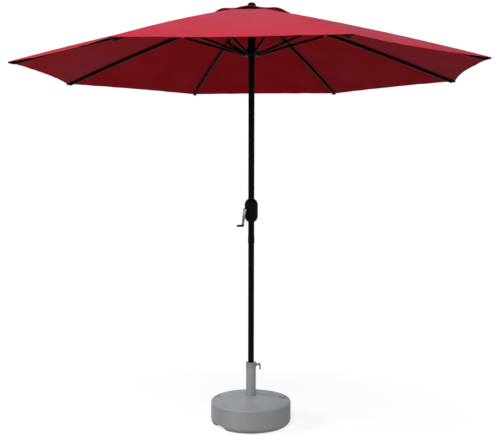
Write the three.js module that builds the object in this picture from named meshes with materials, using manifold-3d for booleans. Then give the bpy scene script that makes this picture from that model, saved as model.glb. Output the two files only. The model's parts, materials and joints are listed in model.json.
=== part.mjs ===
// Patio umbrella with base: an eight-rib market umbrella with a crank lift, a vented canopy,
// a two-piece pole and a round water-filled base.
// Millimetres, +Z up. The origin is on the ground, at the middle of the base.
import * as THREE from 'three';
import { mergeVertices } from 'three/addons/utils/BufferGeometryUtils.js';
import Module from 'manifold-3d';

const wasm = await Module();
wasm.setup();

// Clearances
const seatGap = 0.3; // between pieces that seat on each other
const turnGap = 0.4; // round a shaft, or a pole that slides
const cutOver = 1; // how far a cutting shape runs past the face it cuts

// Round base: a blow-moulded shell that holds water
const baseRadius = 235;
const baseFootRadius = 197;
const baseFootRise = 35; // height of the curve from the foot to the side
const baseRecessRadius = 130; // hollow under the middle
const baseRecessDepth = 8;
const baseRecessBevel = 10;
const baseSideTop = 130;
const baseRimRadius = 12;
const baseRimArc = 75; // degrees of rim before the dome begins
const baseDomeTop = 169;
const baseDomePower = 1.6;
const baseWall = 3;
const wellFloorThickness = 6;
const wellWall = 3.5;
const waterTop = 112;

// Hand notch in the bottom edge
const notchAzimuth = 218;
const notchWidth = 124;
const notchHeight = 26;
const notchDepth = 60;
const notchCorner = 22;

// Filler cap
const fillerAzimuth = 12.6;
const fillerFromEdge = 48; // cap's middle, in from the base's widest edge
const fillerHoleRadius = 15;
const fillerSeatWidth = 8; // flat ring round the hole
const fillerSeatRise = 2; // above the dome
const gasketThickness = 1.5;
const fillerCapRadius = 20;
const fillerCapThickness = 5;
const fillerPlugDepth = 14;

// Base post and its clamp collar
const postRadius = 29;
const postWall = 1.5;
const postTop = 344;
const collarLap = 6; // the collar's skirt over the post
const collarRise = 21; // the collar above the post
const collarRadius = 30.8;
const adapterHeight = 30;
const clampBelowTop = 12; // clamp screw's axis below the top of the collar
const clampBossRadius = 8;
const clampBossReach = 36; // from the pole's axis
const clampScrewRadius = 4;
const clampHubRadius = 7;
const clampHubStart = 38;
const clampLeverStart = 46;
const clampLeverDepth = 12;
const clampLeverRise = 9; // above the screw's axis
const clampLeverDrop = 33; // below it
const clampLeverThickness = 9;

// Pole in two pieces
const lowerPoleRadius = 17.4;
const lowerPoleWall = 1.3;
const upperPoleRadius = 17.8;
const upperPoleWall = 1.2;
const poleTop = 2400;
const poleJoint = 1068; // height of the bottom of the joint sleeve
const spigotLength = 100;
const swageLength = 6;
const plugFlange = 2;
const plugDepth = 24;
const plugHoleRadius = 4;
const sleeveRadius = 19.35;
const sleeveLength = 43;
const sleeveLip = 4;

// Snap button that locks the two pole pieces
const buttonAzimuth = 90;
const buttonAboveJoint = 22;
const buttonRadius = 3.9;
const buttonProud = 2.2; // out of the sleeve
const buttonLength = 12;
const buttonFlangeRadius = 6;
const buttonFlangeThickness = 1.5;
const springStrip = 0.8;
const springWidth = 9;
const springLeg = 40;

// Crank housing
const housingRadius = 38.75;
const housingAboveSleeve = 84;
const housingHeight = 132;
const housingNeck = 20; // radius of its ends
const housingShoulder = 30; // height of each tapered end
const housingWall = 2.5;

// Crank
const crankAzimuth = 225;
const crankAboveHousing = 71; // crank axis above the housing's lower end
const shaftRadius = 4;
const shaftTail = 20; // past the pole's axis
const spoolRadius = 9;
const spoolLength = 20;
const spoolFlangeRadius = 12.5;
const spoolFlange = 2;
const bushRadius = 8;
const bushFlangeRadius = 11.5;
const bushFlangeThickness = 2.2;
const armLength = 92; // crank axis to grip axis
const armThickness = 6;
const armLean = 12; // the arm's lower end stands this much further out
const armBossRadius = 11;
const armBossLength = 15;
const armEndRadius = 7.5;
const armScrewRadius = 7;
const armScrewHead = 2.5;
const gripRadius = 7;
const gripLength = 34;
const rivetRadius = 3;
const rivetHeadRadius = 5.5;
const rivetHead = 2.2;
const rivetCap = 6; // domed cap on the grip's outer end

// Lift cord and its pulley
const cordRadius = 1.5;
const cordSides = 8;
const pulleyAzimuth = 45;
const pulleyBelowTop = 48; // pulley axis below the pole's top
const pulleyOffset = 9; // from the pole's axis
const pulleyTurn = 12; // from the pulley's axis to the cord's
const pulleyRimRadius = 13.4;
const pulleyWidth = 5;
const pulleyAxleRadius = 2;
const pulleySlotWidth = 6.4;

// Crown, where the ribs hinge
const ribCount = 8;
const firstRibAzimuth = 22.5;
const crownPivotRadius = 34;
const crownPivotAbovePole = 15;
const crownRadius = 48;
const crownSleeveRadius = 21.5;
const crownSleeveLap = 25; // down over the pole
const crownFlangeBelow = 9; // below the pivots
const crownCapFlange = 3;
const crownCapRim = 2; // the crown's edge past the cap's
const crownStemRadius = 5.7;
const crownStemDepth = 19;
const crownNeckRadius = 17;
const crownNeckHeight = 14.55; // brings the finial's underside 39 mm above the pole
const finialRadius = 25;
const finialHeight = 21;
const finialSide = 7; // straight side below the finial's dome

// Ribs: arched U-channels, open side down, and their trunnions
const ribWidth = 14;
const ribRise = 10; // above its middle line
const ribDrop = 6; // below it
const ribWall = 1;
const ribReach = 1366; // crown pivot to rib tip, straight
const ribBow = 13;
const ribOpenAngle = 15.54; // below level
const ribSteps = 6;
const lugWidth = 10;
const lugRadius = 6;
const lugLength = 20; // from the pivot to the channel
const ribSolidStart = 26; // solid end of the channel, behind the lug
const trunnionRadius = 2.5;
const trunnionReach = 2.5; // out of each side of a 10 mm lug
const tipCapEnd = 26; // nose past the channel's end
const tipCapBlunt = 6; // the nose's end, from top to bottom
const tipCapPlug = 24; // inside the channel

// Struts: U-channels from the ribs to the runner
const strutAlongRib = 438; // crown pivot to strut pivot
const strutBelowChord = 0.66; // degrees
const strutWidth = 10;
const strutDepth = 14;
const strutWall = 1;
const strutSolidEnd = 12;
const earRadius = 5.5;
const earSpread = 14;

// Runner, which slides on the pole
const runnerPivotRadius = 44;
const runnerBelowCrown = 252; // between their pivots, with the canopy open
const runnerRadius = 54;
const runnerSleeveRadius = 22;
const runnerSleeveRise = 97; // above the runner's pivots
const runnerFlangeHalf = 10;
const runnerSkirt = 10;
const runnerSlotWidth = 11.5;
const runnerPivotPlay = 2.7; // the struts' ends wander this much while the canopy folds

// Canopy: one main canopy of eight gores and a vent canopy over its opening
const clothThickness = 0.8;
const openingReach = 172; // crown pivot to the opening's edge, along a rib
const hemFromTip = 4; // the hem's corners, in from the ribs' tips
const hemScallop = 38; // the hem's middle, further in than its corners, along a rib
const hemSag = 13;
const seamGap = 0.4; // between neighbouring panels
const ribBand = 0.5; // the cloth lies level this far past a rib's side
const panelRows = 4;
const panelColumns = 3; // from a rib to the middle of a gore
const ventRadius = 235;
const ventArch = 18; // rise of the vent's edge between two ribs
const ventRows = 2;
const ventSteps = 48;

const roundSteps = 20;
const pinSteps = 8;
const baseSteps = 32;
const radians = THREE.MathUtils.degToRad;
const sine = (degrees) => Math.sin(radians(degrees));
const cosine = (degrees) => Math.cos(radians(degrees));

// ---------------------------------------------------------------- shapes

// A closed geometry as a manifold solid, ready to join or cut.
function solid(geometry) {
  const bare = geometry.clone();
  bare.deleteAttribute('normal');
  bare.deleteAttribute('uv');
  const merged = mergeVertices(bare, 1e-4);
  const corners = merged.index.array;
  const triangles = [];
  for (let i = 0; i < corners.length; i += 3) {
    const [a, b, c] = corners.slice(i, i + 3);
    if (a !== b && b !== c && c !== a) triangles.push(a, b, c);
  }
  return new wasm.Manifold(
    new wasm.Mesh({
      numProp: 3,
      vertProperties: new Float32Array(merged.attributes.position.array),
      triVerts: new Uint32Array(triangles),
    })
  );
}

const join = (...geometries) => geometries.map(solid).reduce((all, next) => all.add(next));
const cut = (body, ...geometries) => geometries.map(solid).reduce((left, next) => left.subtract(next), body);

function piece(name, shape, material) {
  const body = shape.isBufferGeometry ? solid(shape) : shape;
  const { vertProperties, triVerts } = body.getMesh();
  const geometry = new THREE.BufferGeometry();
  geometry.setAttribute('position', new THREE.BufferAttribute(vertProperties, 3));
  geometry.setIndex(new THREE.BufferAttribute(triVerts, 1));
  geometry.computeVertexNormals();
  const mesh = new THREE.Mesh(geometry, material);
  mesh.name = name;
  return mesh;
}

function group(...children) {
  const holder = new THREE.Group();
  holder.add(...children);
  return holder;
}

// Turned about +Z from [radius, height] pairs, anticlockwise.
function turned(profile, steps = roundSteps) {
  const points = profile.map(([radius, height]) => new THREE.Vector2(radius, height));
  return new THREE.LatheGeometry(points, steps).rotateX(Math.PI / 2);
}

function ring(inner, outer, bottom, top, steps = roundSteps) {
  return turned([[inner, bottom], [outer, bottom], [outer, top], [inner, top], [inner, bottom]], steps);
}

const rod = (radius, from, to, steps) => new THREE.CylinderGeometry(radius, radius, to - from, steps);
const rodX = (radius, from, to, steps = pinSteps) =>
  rod(radius, from, to, steps).rotateZ(-Math.PI / 2).translate((from + to) / 2, 0, 0);
const rodY = (radius, length, steps = pinSteps) => rod(radius, 0, length, steps);
const rodZ = (radius, bottom, top, steps = roundSteps) =>
  rod(radius, bottom, top, steps).rotateX(Math.PI / 2).translate(0, 0, (bottom + top) / 2);

// A box from its limits along X and Z, centred on y = 0.
function block(fromX, toX, width, bottom, top) {
  return new THREE.BoxGeometry(toX - fromX, width, top - bottom)
    .translate((fromX + toX) / 2, 0, (bottom + top) / 2);
}

// An outline in X and Z, given a width along Y, centred on y = 0.
function plate(shape, width) {
  return new THREE.ExtrudeGeometry(shape, { depth: width, bevelEnabled: false, curveSegments: 3 })
    .rotateX(Math.PI / 2)
    .translate(0, width / 2, 0);
}

const outline = (pairs = null) => new THREE.Shape(pairs?.map(([x, z]) => new THREE.Vector2(x, z)));
const arc = (count, from, to, place) =>
  Array.from({ length: count + 1 }, (_, i) => place(from + ((to - from) * i) / count));

// ---------------------------------------------------------------- materials

const finish = (color, roughness, metalness = 0) =>
  new THREE.MeshStandardMaterial({ color, roughness, metalness });
const canopyCloth = finish(0xb9344a, 0.85);
const blackPaint = finish(0x0e0e0e, 0.35, 0.4);
const blackPlastic = finish(0x131312, 0.45);
const greyPlastic = finish(0x8f9194, 0.5);
const greyPaint = finish(0x828382, 0.4, 0.2);
const bareSteel = finish(0xa8a8aa, 0.3, 1);
const darkRubber = finish(0x1a1a1a, 0.8);
const darkCord = finish(0x2a2a2a, 0.8);
const water = finish(0x7fb0c8, 0.1);

const umbrella = new THREE.Group();

// ---------------------------------------------------------------- base

const wellRadius = postRadius + turnGap;
const wellFloor = baseRecessDepth + wellFloorThickness;
const rimCentre = baseRadius - baseRimRadius;
const domeEdge = rimCentre + baseRimRadius * cosine(baseRimArc);
const domeEdgeHeight = baseSideTop + baseRimRadius * sine(baseRimArc);

function domeHeight(radius) {
  const share = (radius - wellRadius) / (domeEdge - wellRadius);
  return baseDomeTop - (baseDomeTop - domeEdgeHeight) * Math.pow(Math.max(0, share), baseDomePower);
}

// The base's section from its recess, round the foot, side and rim, to the well, moved in by inset.
function baseSection(inner, inset) {
  const footWidth = baseRadius - baseFootRadius - inset;
  const rim = baseRimRadius - inset;
  const dome = arc(3, domeEdge, inner, (radius) => [radius, domeHeight(radius) - inset]).slice(1);
  return [
    [baseRecessRadius - inset, baseRecessDepth + inset],
    [baseRecessRadius + baseRecessBevel - inset, inset],
    ...arc(4, 0, 90, (a) => [
      baseFootRadius + footWidth * sine(a),
      baseFootRise - (baseFootRise - inset) * cosine(a),
    ]),
    ...arc(2, 0, baseRimArc, (a) => [rimCentre + rim * cosine(a), baseSideTop + rim * sine(a)]),
    ...dome,
  ];
}

function baseShape(inner, inset) {
  const section = baseSection(inner, inset);
  const start = [inner, baseRecessDepth + inset];
  return turned([start, ...section, start], baseSteps);
}

function notch(grow) {
  const half = notchWidth / 2 + grow;
  const top = notchHeight + grow;
  const corner = notchCorner + grow;
  const shape = outline([[-half, -cutOver], [half, -cutOver], [half, top - corner]]);
  shape.absarc(half - corner, top - corner, corner, 0, Math.PI / 2);
  shape.absarc(corner - half, top - corner, corner, Math.PI / 2, Math.PI);
  const depth = notchDepth + grow + 2 * cutOver;
  return plate(shape, depth)
    .rotateZ(Math.PI / 2)
    .translate(baseRadius - notchDepth - grow + depth / 2, 0, 0)
    .rotateZ(radians(notchAzimuth));
}

const fillerOffset = baseRadius - fillerFromEdge;
const fillerSeat = domeHeight(fillerOffset) + fillerSeatRise;
const fillerBossRadius = fillerHoleRadius + fillerSeatWidth;
const atFiller = (geometry) => geometry.translate(fillerOffset, 0, 0).rotateZ(radians(fillerAzimuth));

function makeBaseShell() {
  const body = turned(
    [[0, baseRecessDepth], ...baseSection(wellRadius, 0), [wellRadius, wellFloor], [0, wellFloor]],
    baseSteps
  );
  const seat = atFiller(rodZ(fillerBossRadius, domeEdgeHeight, fillerSeat));
  const cavity = cut(solid(baseShape(wellRadius + wellWall, baseWall)), notch(baseWall));
  return cut(
    join(body, seat).subtract(cavity),
    notch(0),
    atFiller(rodZ(fillerHoleRadius, baseSideTop, baseDomeTop + cutOver)),
    atFiller(rodZ(fillerBossRadius, fillerSeat, baseDomeTop + cutOver))
  );
}

function makeWater() {
  const inset = baseWall + seatGap;
  const full = solid(baseShape(wellRadius + wellWall + seatGap, inset));
  return cut(full, notch(inset), rodZ(baseRadius, waterTop, baseDomeTop));
}

const gasketBottom = fillerSeat + seatGap;
const capBottom = gasketBottom + gasketThickness + seatGap;
const plugRadius = fillerHoleRadius - 2 * seatGap;

umbrella.add(
  piece('base_shell', makeBaseShell(), greyPlastic),
  piece('water_fill', makeWater(), water),
  piece(
    'filler_gasket',
    atFiller(ring(plugRadius + seatGap, fillerCapRadius - seatGap, gasketBottom, capBottom - seatGap)),
    darkRubber
  ),
  piece(
    'filler_cap',
    join(
      atFiller(rodZ(fillerCapRadius, capBottom, capBottom + fillerCapThickness)),
      atFiller(rodZ(plugRadius, capBottom - fillerPlugDepth, capBottom + cutOver))
    ),
    greyPlastic
  )
);

// ---------------------------------------------------------------- post, collar and clamp

const standing = wellFloor + seatGap; // what stands on the well's floor
const collarBottom = postTop - collarLap;
const collarTop = postTop + collarRise;
const clampHeight = collarTop - clampBelowTop;
const postBore = postRadius - postWall;
const collarBore = lowerPoleRadius + turnGap;

function makeCollar() {
  const overPost = postRadius + seatGap;
  const ledge = postTop + seatGap;
  const body = turned([
    [overPost, collarBottom], [collarRadius, collarBottom], [collarRadius, collarTop],
    [collarBore, collarTop], [collarBore, ledge], [overPost, ledge], [overPost, collarBottom],
  ]);
  const boss = rodX(clampBossRadius, overPost - cutOver, clampBossReach, roundSteps);
  const hole = rodX(clampScrewRadius + turnGap, 0, clampBossReach + cutOver);
  return cut(join(body, boss.translate(0, 0, clampHeight)), hole.translate(0, 0, clampHeight));
}

function makeClampScrew() {
  const tip = clampLeverThickness / 2;
  const end = clampLeverStart + clampLeverDepth;
  const lever = outline([[clampLeverStart, -clampHubRadius], [clampLeverStart, clampLeverRise - tip]]);
  lever.quadraticCurveTo(clampLeverStart, clampLeverRise, clampLeverStart + tip, clampLeverRise);
  lever.quadraticCurveTo(end, clampLeverRise, end, -clampHubRadius);
  lever.lineTo(end, tip - clampLeverDrop);
  lever.quadraticCurveTo(end, -clampLeverDrop, end - tip, -clampLeverDrop);
  lever.quadraticCurveTo(end - 2 * tip, -clampLeverDrop, end - 2 * tip, tip - clampLeverDrop);
  lever.lineTo(end - 2 * tip, -clampHubRadius - tip);
  return join(
    rodX(clampScrewRadius, lowerPoleRadius + seatGap, clampLeverStart + cutOver),
    rodX(clampHubRadius, clampHubStart, clampLeverStart + clampLeverDepth / 2, roundSteps),
    plate(lever, clampLeverThickness)
  );
}

const clampScrew = piece('clamp_screw', makeClampScrew(), greyPlastic);
clampScrew.position.z = clampHeight;
umbrella.add(
  piece('base_post', ring(postBore, postRadius, standing, postTop), greyPaint),
  piece('post_collar', makeCollar(), greyPlastic),
  piece(
    'pole_adapter',
    ring(collarBore, postBore - seatGap, standing, standing + adapterHeight),
    blackPlastic
  ),
  clampScrew
);

// ---------------------------------------------------------------- pole

const poleBottom = standing + plugFlange + seatGap;
const lowerBore = lowerPoleRadius - lowerPoleWall;
const upperBore = upperPoleRadius - upperPoleWall;
const spigotRadius = upperBore - turnGap;
const spigotBore = spigotRadius - lowerPoleWall;
const buttonHeight = poleJoint + buttonAboveJoint;
const housingBottom = poleJoint + sleeveLength + housingAboveSleeve;
const housingTop = housingBottom + housingHeight;
const crankHeight = housingBottom + crankAboveHousing;
const pulleyHeight = poleTop - pulleyBelowTop;
const crownPivotHeight = poleTop + crownPivotAbovePole;
const runnerPivotHeight = crownPivotHeight - runnerBelowCrown;
const runnerSleeveTop = runnerPivotHeight + runnerSleeveRise;
const atButton = (geometry) => geometry.translate(0, 0, buttonHeight).rotateZ(radians(buttonAzimuth));
const buttonWindow = () => atButton(rodX(buttonRadius + seatGap, 0, sleeveRadius + cutOver));

function makeLowerPole() {
  const swage = poleJoint - swageLength;
  const body = turned([
    [lowerBore, poleBottom], [lowerPoleRadius, poleBottom], [lowerPoleRadius, swage],
    [spigotRadius, poleJoint], [spigotRadius, poleJoint + spigotLength],
    [spigotBore, poleJoint + spigotLength], [spigotBore, poleJoint],
    [lowerBore, swage], [lowerBore, poleBottom],
  ]);
  return cut(solid(body), buttonWindow());
}

const crankTurn = radians(crankAzimuth);
const atCrank = (geometry) => geometry.translate(0, 0, crankHeight).rotateZ(crankTurn);
const pulleyTurnAngle = radians(pulleyAzimuth);
const atPulley = (geometry) => geometry.translate(pulleyOffset, 0, pulleyHeight).rotateZ(pulleyTurnAngle);

function makeUpperPole() {
  const slotHalf = pulleyRimRadius + turnGap;
  return cut(
    solid(ring(upperBore, upperPoleRadius, poleJoint + sleeveLip, poleTop)),
    buttonWindow(),
    atCrank(rodX(shaftRadius + turnGap, -upperPoleRadius - cutOver, upperPoleRadius + cutOver)),
    atPulley(block(0, upperPoleRadius, pulleySlotWidth, -slotHalf, slotHalf)),
    atPulley(rodY(pulleyAxleRadius + seatGap, 2 * upperPoleRadius))
  );
}

function makeJointSleeve() {
  const lipTop = poleJoint + sleeveLip - seatGap;
  const lipBore = lowerPoleRadius + seatGap;
  const bore = upperPoleRadius + seatGap;
  const body = turned([
    [lipBore, poleJoint], [sleeveRadius, poleJoint], [sleeveRadius, poleJoint + sleeveLength],
    [bore, poleJoint + sleeveLength], [bore, lipTop], [lipBore, lipTop], [lipBore, poleJoint],
  ]);
  return cut(solid(body), buttonWindow());
}

function makeFootPlug() {
  const inPole = lowerBore - seatGap;
  return turned([
    [plugHoleRadius, standing], [lowerPoleRadius, standing], [lowerPoleRadius, standing + plugFlange],
    [inPole, standing + plugFlange], [inPole, standing + plugDepth], [plugHoleRadius, standing + plugDepth],
    [plugHoleRadius, standing],
  ]);
}

umbrella.add(
  piece('foot_plug', makeFootPlug(), blackPlastic),
  piece('lower_pole', makeLowerPole(), blackPaint),
  piece('upper_pole', makeUpperPole(), blackPaint),
  piece('joint_sleeve', makeJointSleeve(), blackPaint)
);

// ---------------------------------------------------------------- snap button

const buttonTip = sleeveRadius + buttonProud;
const buttonBack = buttonTip - buttonLength;
const springFront = buttonBack - buttonFlangeThickness - seatGap;

// A strip bent to a U: one leg behind the button, the other along the pole's far wall.
function makeButtonSpring() {
  const back = -Math.sqrt((spigotBore - seatGap) ** 2 - (springWidth / 2) ** 2);
  const bend = (springFront - back) / 2;
  const middle = (springFront + back) / 2;
  const strip = outline([[springFront, -buttonRadius], [springFront, springLeg]]);
  strip.absarc(middle, springLeg, bend, 0, Math.PI);
  strip.lineTo(back, -buttonRadius);
  strip.lineTo(back + springStrip, -buttonRadius);
  strip.lineTo(back + springStrip, springLeg);
  strip.absarc(middle, springLeg, bend - springStrip, Math.PI, 0, true);
  strip.lineTo(springFront - springStrip, -buttonRadius);
  return atButton(plate(strip, springWidth));
}

umbrella.add(
  piece(
    'snap_button',
    join(
      atButton(rodX(buttonRadius, buttonBack, buttonTip)),
      atButton(rodX(buttonFlangeRadius, buttonBack - buttonFlangeThickness, buttonBack + seatGap))
    ),
    bareSteel
  ),
  piece('button_spring', makeButtonSpring(), bareSteel)
);

// ---------------------------------------------------------------- crank housing

function makeHousing() {
  const bore = upperPoleRadius + seatGap;
  const soft = (share) => share ** (4 / 3); // a curve between an ellipse and a straight taper
  const shoulder = (inset) => arc(6, 0, 90, (a) => [
    housingNeck + (housingRadius - housingNeck - inset) * soft(cosine(a)),
    (housingShoulder - inset) * soft(sine(a)),
  ]);
  const shoulders = (inset) => [
    ...shoulder(inset).reverse().map(([r, rise]) => [r, housingBottom + housingShoulder - rise]),
    ...shoulder(inset).map(([r, rise]) => [r, housingTop - housingShoulder + rise]),
  ];
  const outside = [[bore, housingBottom], ...shoulders(0), [bore, housingTop]];
  const inside = [
    [bore, housingTop - housingWall],
    ...shoulders(housingWall).reverse(),
    [bore, housingBottom + housingWall],
  ];
  const shell = solid(turned([...outside, ...inside, outside[0]]));
  return cut(shell, atCrank(rodX(bushRadius + seatGap, 0, housingRadius + cutOver, roundSteps)));
}

function halfHousing(side) {
  const reach = side * (housingRadius + cutOver);
  const near = (side * seatGap) / 2;
  const width = 3 * housingRadius;
  const limits = [Math.min(near, reach), Math.max(near, reach)];
  const keep = block(...limits, width, housingBottom - cutOver, housingTop + cutOver);
  return makeHousing().intersect(solid(keep.rotateZ(crankTurn)));
}

const bushFlangeStart = housingRadius + seatGap;
const bushEnd = bushFlangeStart + bushFlangeThickness;

function makeBush() {
  const start = upperPoleRadius + seatGap;
  return cut(
    join(
      rodX(bushRadius, start, bushEnd, roundSteps),
      rodX(bushFlangeRadius, bushFlangeStart, bushEnd, roundSteps)
    ),
    rodX(shaftRadius + turnGap, 0, bushEnd + cutOver)
  );
}

// ---------------------------------------------------------------- crank

const armSlope = armLean / armLength;
const armBossStart = bushEnd + turnGap;
const armFace = armBossStart + armBossLength;
const armStart = armFace - armThickness - armBossRadius * armSlope;
const armEnd = armStart + armLean;

function makeArm() {
  const taper = outline();
  taper.absarc(0, 0, armBossRadius, 0, Math.PI);
  taper.absarc(0, -armLength, armEndRadius, Math.PI, 2 * Math.PI);
  const lean = new THREE.Matrix4().makeShear(0, 0, 0, 0, -armSlope, 0);
  const blade = plate(taper, armThickness)
    .rotateZ(Math.PI / 2)
    .translate(armStart + armThickness / 2, 0, 0)
    .applyMatrix4(lean);
  return cut(
    join(blade, rodX(armBossRadius, armBossStart, armFace, roundSteps)),
    rodX(shaftRadius + seatGap, armBossStart - cutOver, armFace + cutOver),
    rodX(rivetRadius + seatGap, armEnd - armThickness, armEnd + 2 * armThickness).translate(0, 0, -armLength)
  );
}

const gripStart = armEnd + armThickness + 2 * seatGap + armEndRadius * armSlope;
const gripEnd = gripStart + gripLength;

function makeSpoolShaft() {
  const half = spoolLength / 2;
  return join(
    rodX(shaftRadius, -shaftTail, armFace + cutOver),
    rodX(spoolRadius, -half, half, roundSteps),
    rodX(spoolFlangeRadius, -half, spoolFlange - half, roundSteps),
    rodX(spoolFlangeRadius, half - spoolFlange, half, roundSteps),
    rodX(armScrewRadius, armFace + seatGap, armFace + seatGap + armScrewHead, roundSteps)
  );
}

function makeGripRivet() {
  const behind = armEnd - armEndRadius * armSlope - seatGap;
  return join(
    rodX(rivetRadius, behind - rivetHead / 2, gripEnd + seatGap + rivetCap / 2),
    rodX(rivetHeadRadius, behind - rivetHead, behind, roundSteps),
    rodX(rivetHeadRadius, gripEnd + seatGap, gripEnd + seatGap + rivetCap, roundSteps)
  );
}

function makeGrip() {
  return cut(
    solid(rodX(gripRadius, gripStart, gripEnd, roundSteps)),
    rodX(rivetRadius + turnGap, gripStart - cutOver, gripEnd + cutOver)
  );
}

const gripRivet = piece('grip_rivet', makeGripRivet(), bareSteel);
const crankGrip = piece('crank_grip', makeGrip(), blackPlastic);
gripRivet.position.z = -armLength;
crankGrip.position.z = -armLength;
const crank = group(
  piece('crank_bush', makeBush(), blackPlastic),
  piece('spool_shaft', makeSpoolShaft(), bareSteel),
  piece('crank_arm', makeArm(), bareSteel),
  gripRivet,
  crankGrip
);
crank.position.z = crankHeight;
crank.rotation.z = crankTurn;
umbrella.add(
  piece('housing_front', halfHousing(1), blackPlastic),
  piece('housing_rear', halfHousing(-1), blackPlastic),
  crank
);

// ---------------------------------------------------------------- pulley and lift cord

// In the pulley's plane: X towards the pulley's azimuth, Z up.
function makeLiftCord() {
  const inside = pulleyOffset - pulleyTurn;
  const outside = pulleyOffset + pulleyTurn;
  const corner = (a) => new THREE.Vector2(cordRadius * cosine(a), cordRadius * sine(a));
  const section = new THREE.Shape(arc(cordSides - 1, 0, 360 - 360 / cordSides, corner));
  const along = (path, steps) =>
    new THREE.ExtrudeGeometry(section, { steps, extrudePath: path, bevelEnabled: false });
  const atSpool = new THREE.Vector3(inside, -spoolRadius - cordRadius - seatGap, crankHeight);
  const lap = cordRadius / 10; // the straight runs reach a little into the turn
  const onPulley = new THREE.Vector3(inside, 0, pulleyHeight + lap);
  const offPulley = new THREE.Vector3(outside, 0, pulleyHeight + lap);
  const atRunner = new THREE.Vector3(outside, 0, runnerSleeveTop + seatGap);
  const overPulley = new THREE.Curve();
  overPulley.getPoint = (t) => {
    const turn = Math.PI * (1 - t);
    return new THREE.Vector3(
      pulleyOffset + pulleyTurn * Math.cos(turn), 0, pulleyHeight + pulleyTurn * Math.sin(turn)
    );
  };
  return join(
    along(new THREE.LineCurve3(atSpool, onPulley), 1),
    along(overPulley, 8),
    along(new THREE.LineCurve3(offPulley, atRunner), 1)
  );
}

function makePulley() {
  const half = pulleyWidth / 2;
  const floor = pulleyTurn - cordRadius - seatGap;
  const bore = pulleyAxleRadius + turnGap;
  const groove = cordRadius + seatGap;
  const profile = turned([
    [bore, -half], [pulleyRimRadius, -half], [pulleyRimRadius, -groove], [floor, -groove], [floor, groove],
    [pulleyRimRadius, groove], [pulleyRimRadius, half], [bore, half], [bore, -half],
  ]);
  return profile.rotateX(Math.PI / 2);
}

const axleHalf = Math.sqrt(upperPoleRadius ** 2 - pulleyOffset ** 2) - seatGap;
const liftCord = piece('lift_cord', makeLiftCord(), darkCord);
liftCord.rotation.z = pulleyTurnAngle;
umbrella.add(
  piece('cord_pulley', atPulley(makePulley()), blackPlastic),
  piece('pulley_axle', atPulley(rodY(pulleyAxleRadius, 2 * axleHalf)), bareSteel),
  liftCord
);

// ---------------------------------------------------------------- crown and runner

const ribAzimuths = Array.from({ length: ribCount }, (_, k) => firstRibAzimuth + (360 / ribCount) * k);
const trunnionSpan = lugWidth + 2 * trunnionReach;
const trunnionBore = trunnionRadius + seatGap;

// Radial slots through a hub's flange, one for each rib, each crossed by a groove for the trunnion.
function slotHub(hub, slotWidth, slotStart, slotEnd, bottom, top, grooves) {
  const cutters = ribAzimuths.flatMap((azimuth) =>
    [block(slotStart, slotEnd, slotWidth, bottom, top), ...grooves()].map((g) => g.rotateZ(radians(azimuth)))
  );
  return cut(solid(hub), ...cutters);
}

const crownFlangeTop = crownPivotHeight + lugRadius + seatGap / 2;
const crownFlangeBottom = crownPivotHeight - crownFlangeBelow;
const crownSleeveBottom = poleTop - crownSleeveLap;
const crownCapBottom = crownFlangeTop + seatGap;
const finialBottom = crownCapBottom + crownCapFlange + crownNeckHeight;
const finialTop = finialBottom + finialHeight;

function makeCrown() {
  const bore = upperPoleRadius + seatGap;
  const seat = poleTop + seatGap;
  const stem = crownStemRadius + seatGap;
  const hub = turned([
    [bore, crownSleeveBottom], [crownSleeveRadius, crownSleeveBottom], [crownSleeveRadius, crownFlangeBottom],
    [crownRadius, crownFlangeBottom], [crownRadius, crownFlangeTop], [stem, crownFlangeTop],
    [stem, seat], [bore, seat], [bore, crownSleeveBottom],
  ]);
  const grooves = () => [
    block(
      crownPivotRadius - trunnionBore, crownPivotRadius + trunnionBore, trunnionSpan + 2 * seatGap,
      crownPivotHeight - trunnionBore, crownFlangeTop + cutOver
    ),
  ];
  const slotStart = crownPivotRadius - lugRadius - turnGap;
  return slotHub(
    hub, lugWidth + 2 * seatGap, slotStart, crownRadius + cutOver,
    crownFlangeBottom - cutOver, crownFlangeTop + cutOver, grooves
  );
}

function makeCrownCap() {
  const bottom = crownCapBottom;
  const dome = finialHeight - finialSide;
  return turned([
    [0, bottom - crownStemDepth], [crownStemRadius, bottom - crownStemDepth], [crownStemRadius, bottom],
    [crownRadius - crownCapRim, bottom], [crownRadius - crownCapRim, bottom + crownCapFlange],
    [crownNeckRadius, bottom + crownCapFlange], [crownNeckRadius, finialBottom], [finialRadius, finialBottom],
    ...arc(5, 0, 90, (a) => [finialRadius * cosine(a), finialBottom + finialSide + dome * sine(a)])
      .slice(0, -1),
    [0, finialTop],
  ]);
}

function makeRunner() {
  const bore = upperPoleRadius + turnGap;
  const bottom = runnerPivotHeight - runnerFlangeHalf;
  const top = runnerPivotHeight + runnerFlangeHalf;
  const hub = turned([
    [bore, bottom - runnerSkirt], [runnerSleeveRadius, bottom - runnerSkirt], [runnerSleeveRadius, bottom],
    [runnerRadius, bottom], [runnerRadius, top], [runnerSleeveRadius, top],
    [runnerSleeveRadius, runnerSleeveTop], [bore, runnerSleeveTop], [bore, bottom - runnerSkirt],
  ]);
  const half = trunnionRadius + runnerPivotPlay;
  const grooves = () => [
    block(
      runnerPivotRadius - half, runnerPivotRadius + half, trunnionSpan + 2 * seatGap,
      bottom - cutOver, runnerPivotHeight + trunnionBore
    ),
  ];
  const slotStart = runnerPivotRadius - strutDepth / 2 - runnerPivotPlay - seatGap;
  const slotEnd = runnerRadius + cutOver;
  return slotHub(hub, runnerSlotWidth, slotStart, slotEnd, bottom - cutOver, top + cutOver, grooves);
}

umbrella.add(
  piece('crown_hub', makeCrown(), blackPlastic),
  piece('crown_cap', makeCrownCap(), blackPlastic),
  piece('runner_hub', makeRunner(), blackPlastic)
);

// ---------------------------------------------------------------- ribs

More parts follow.
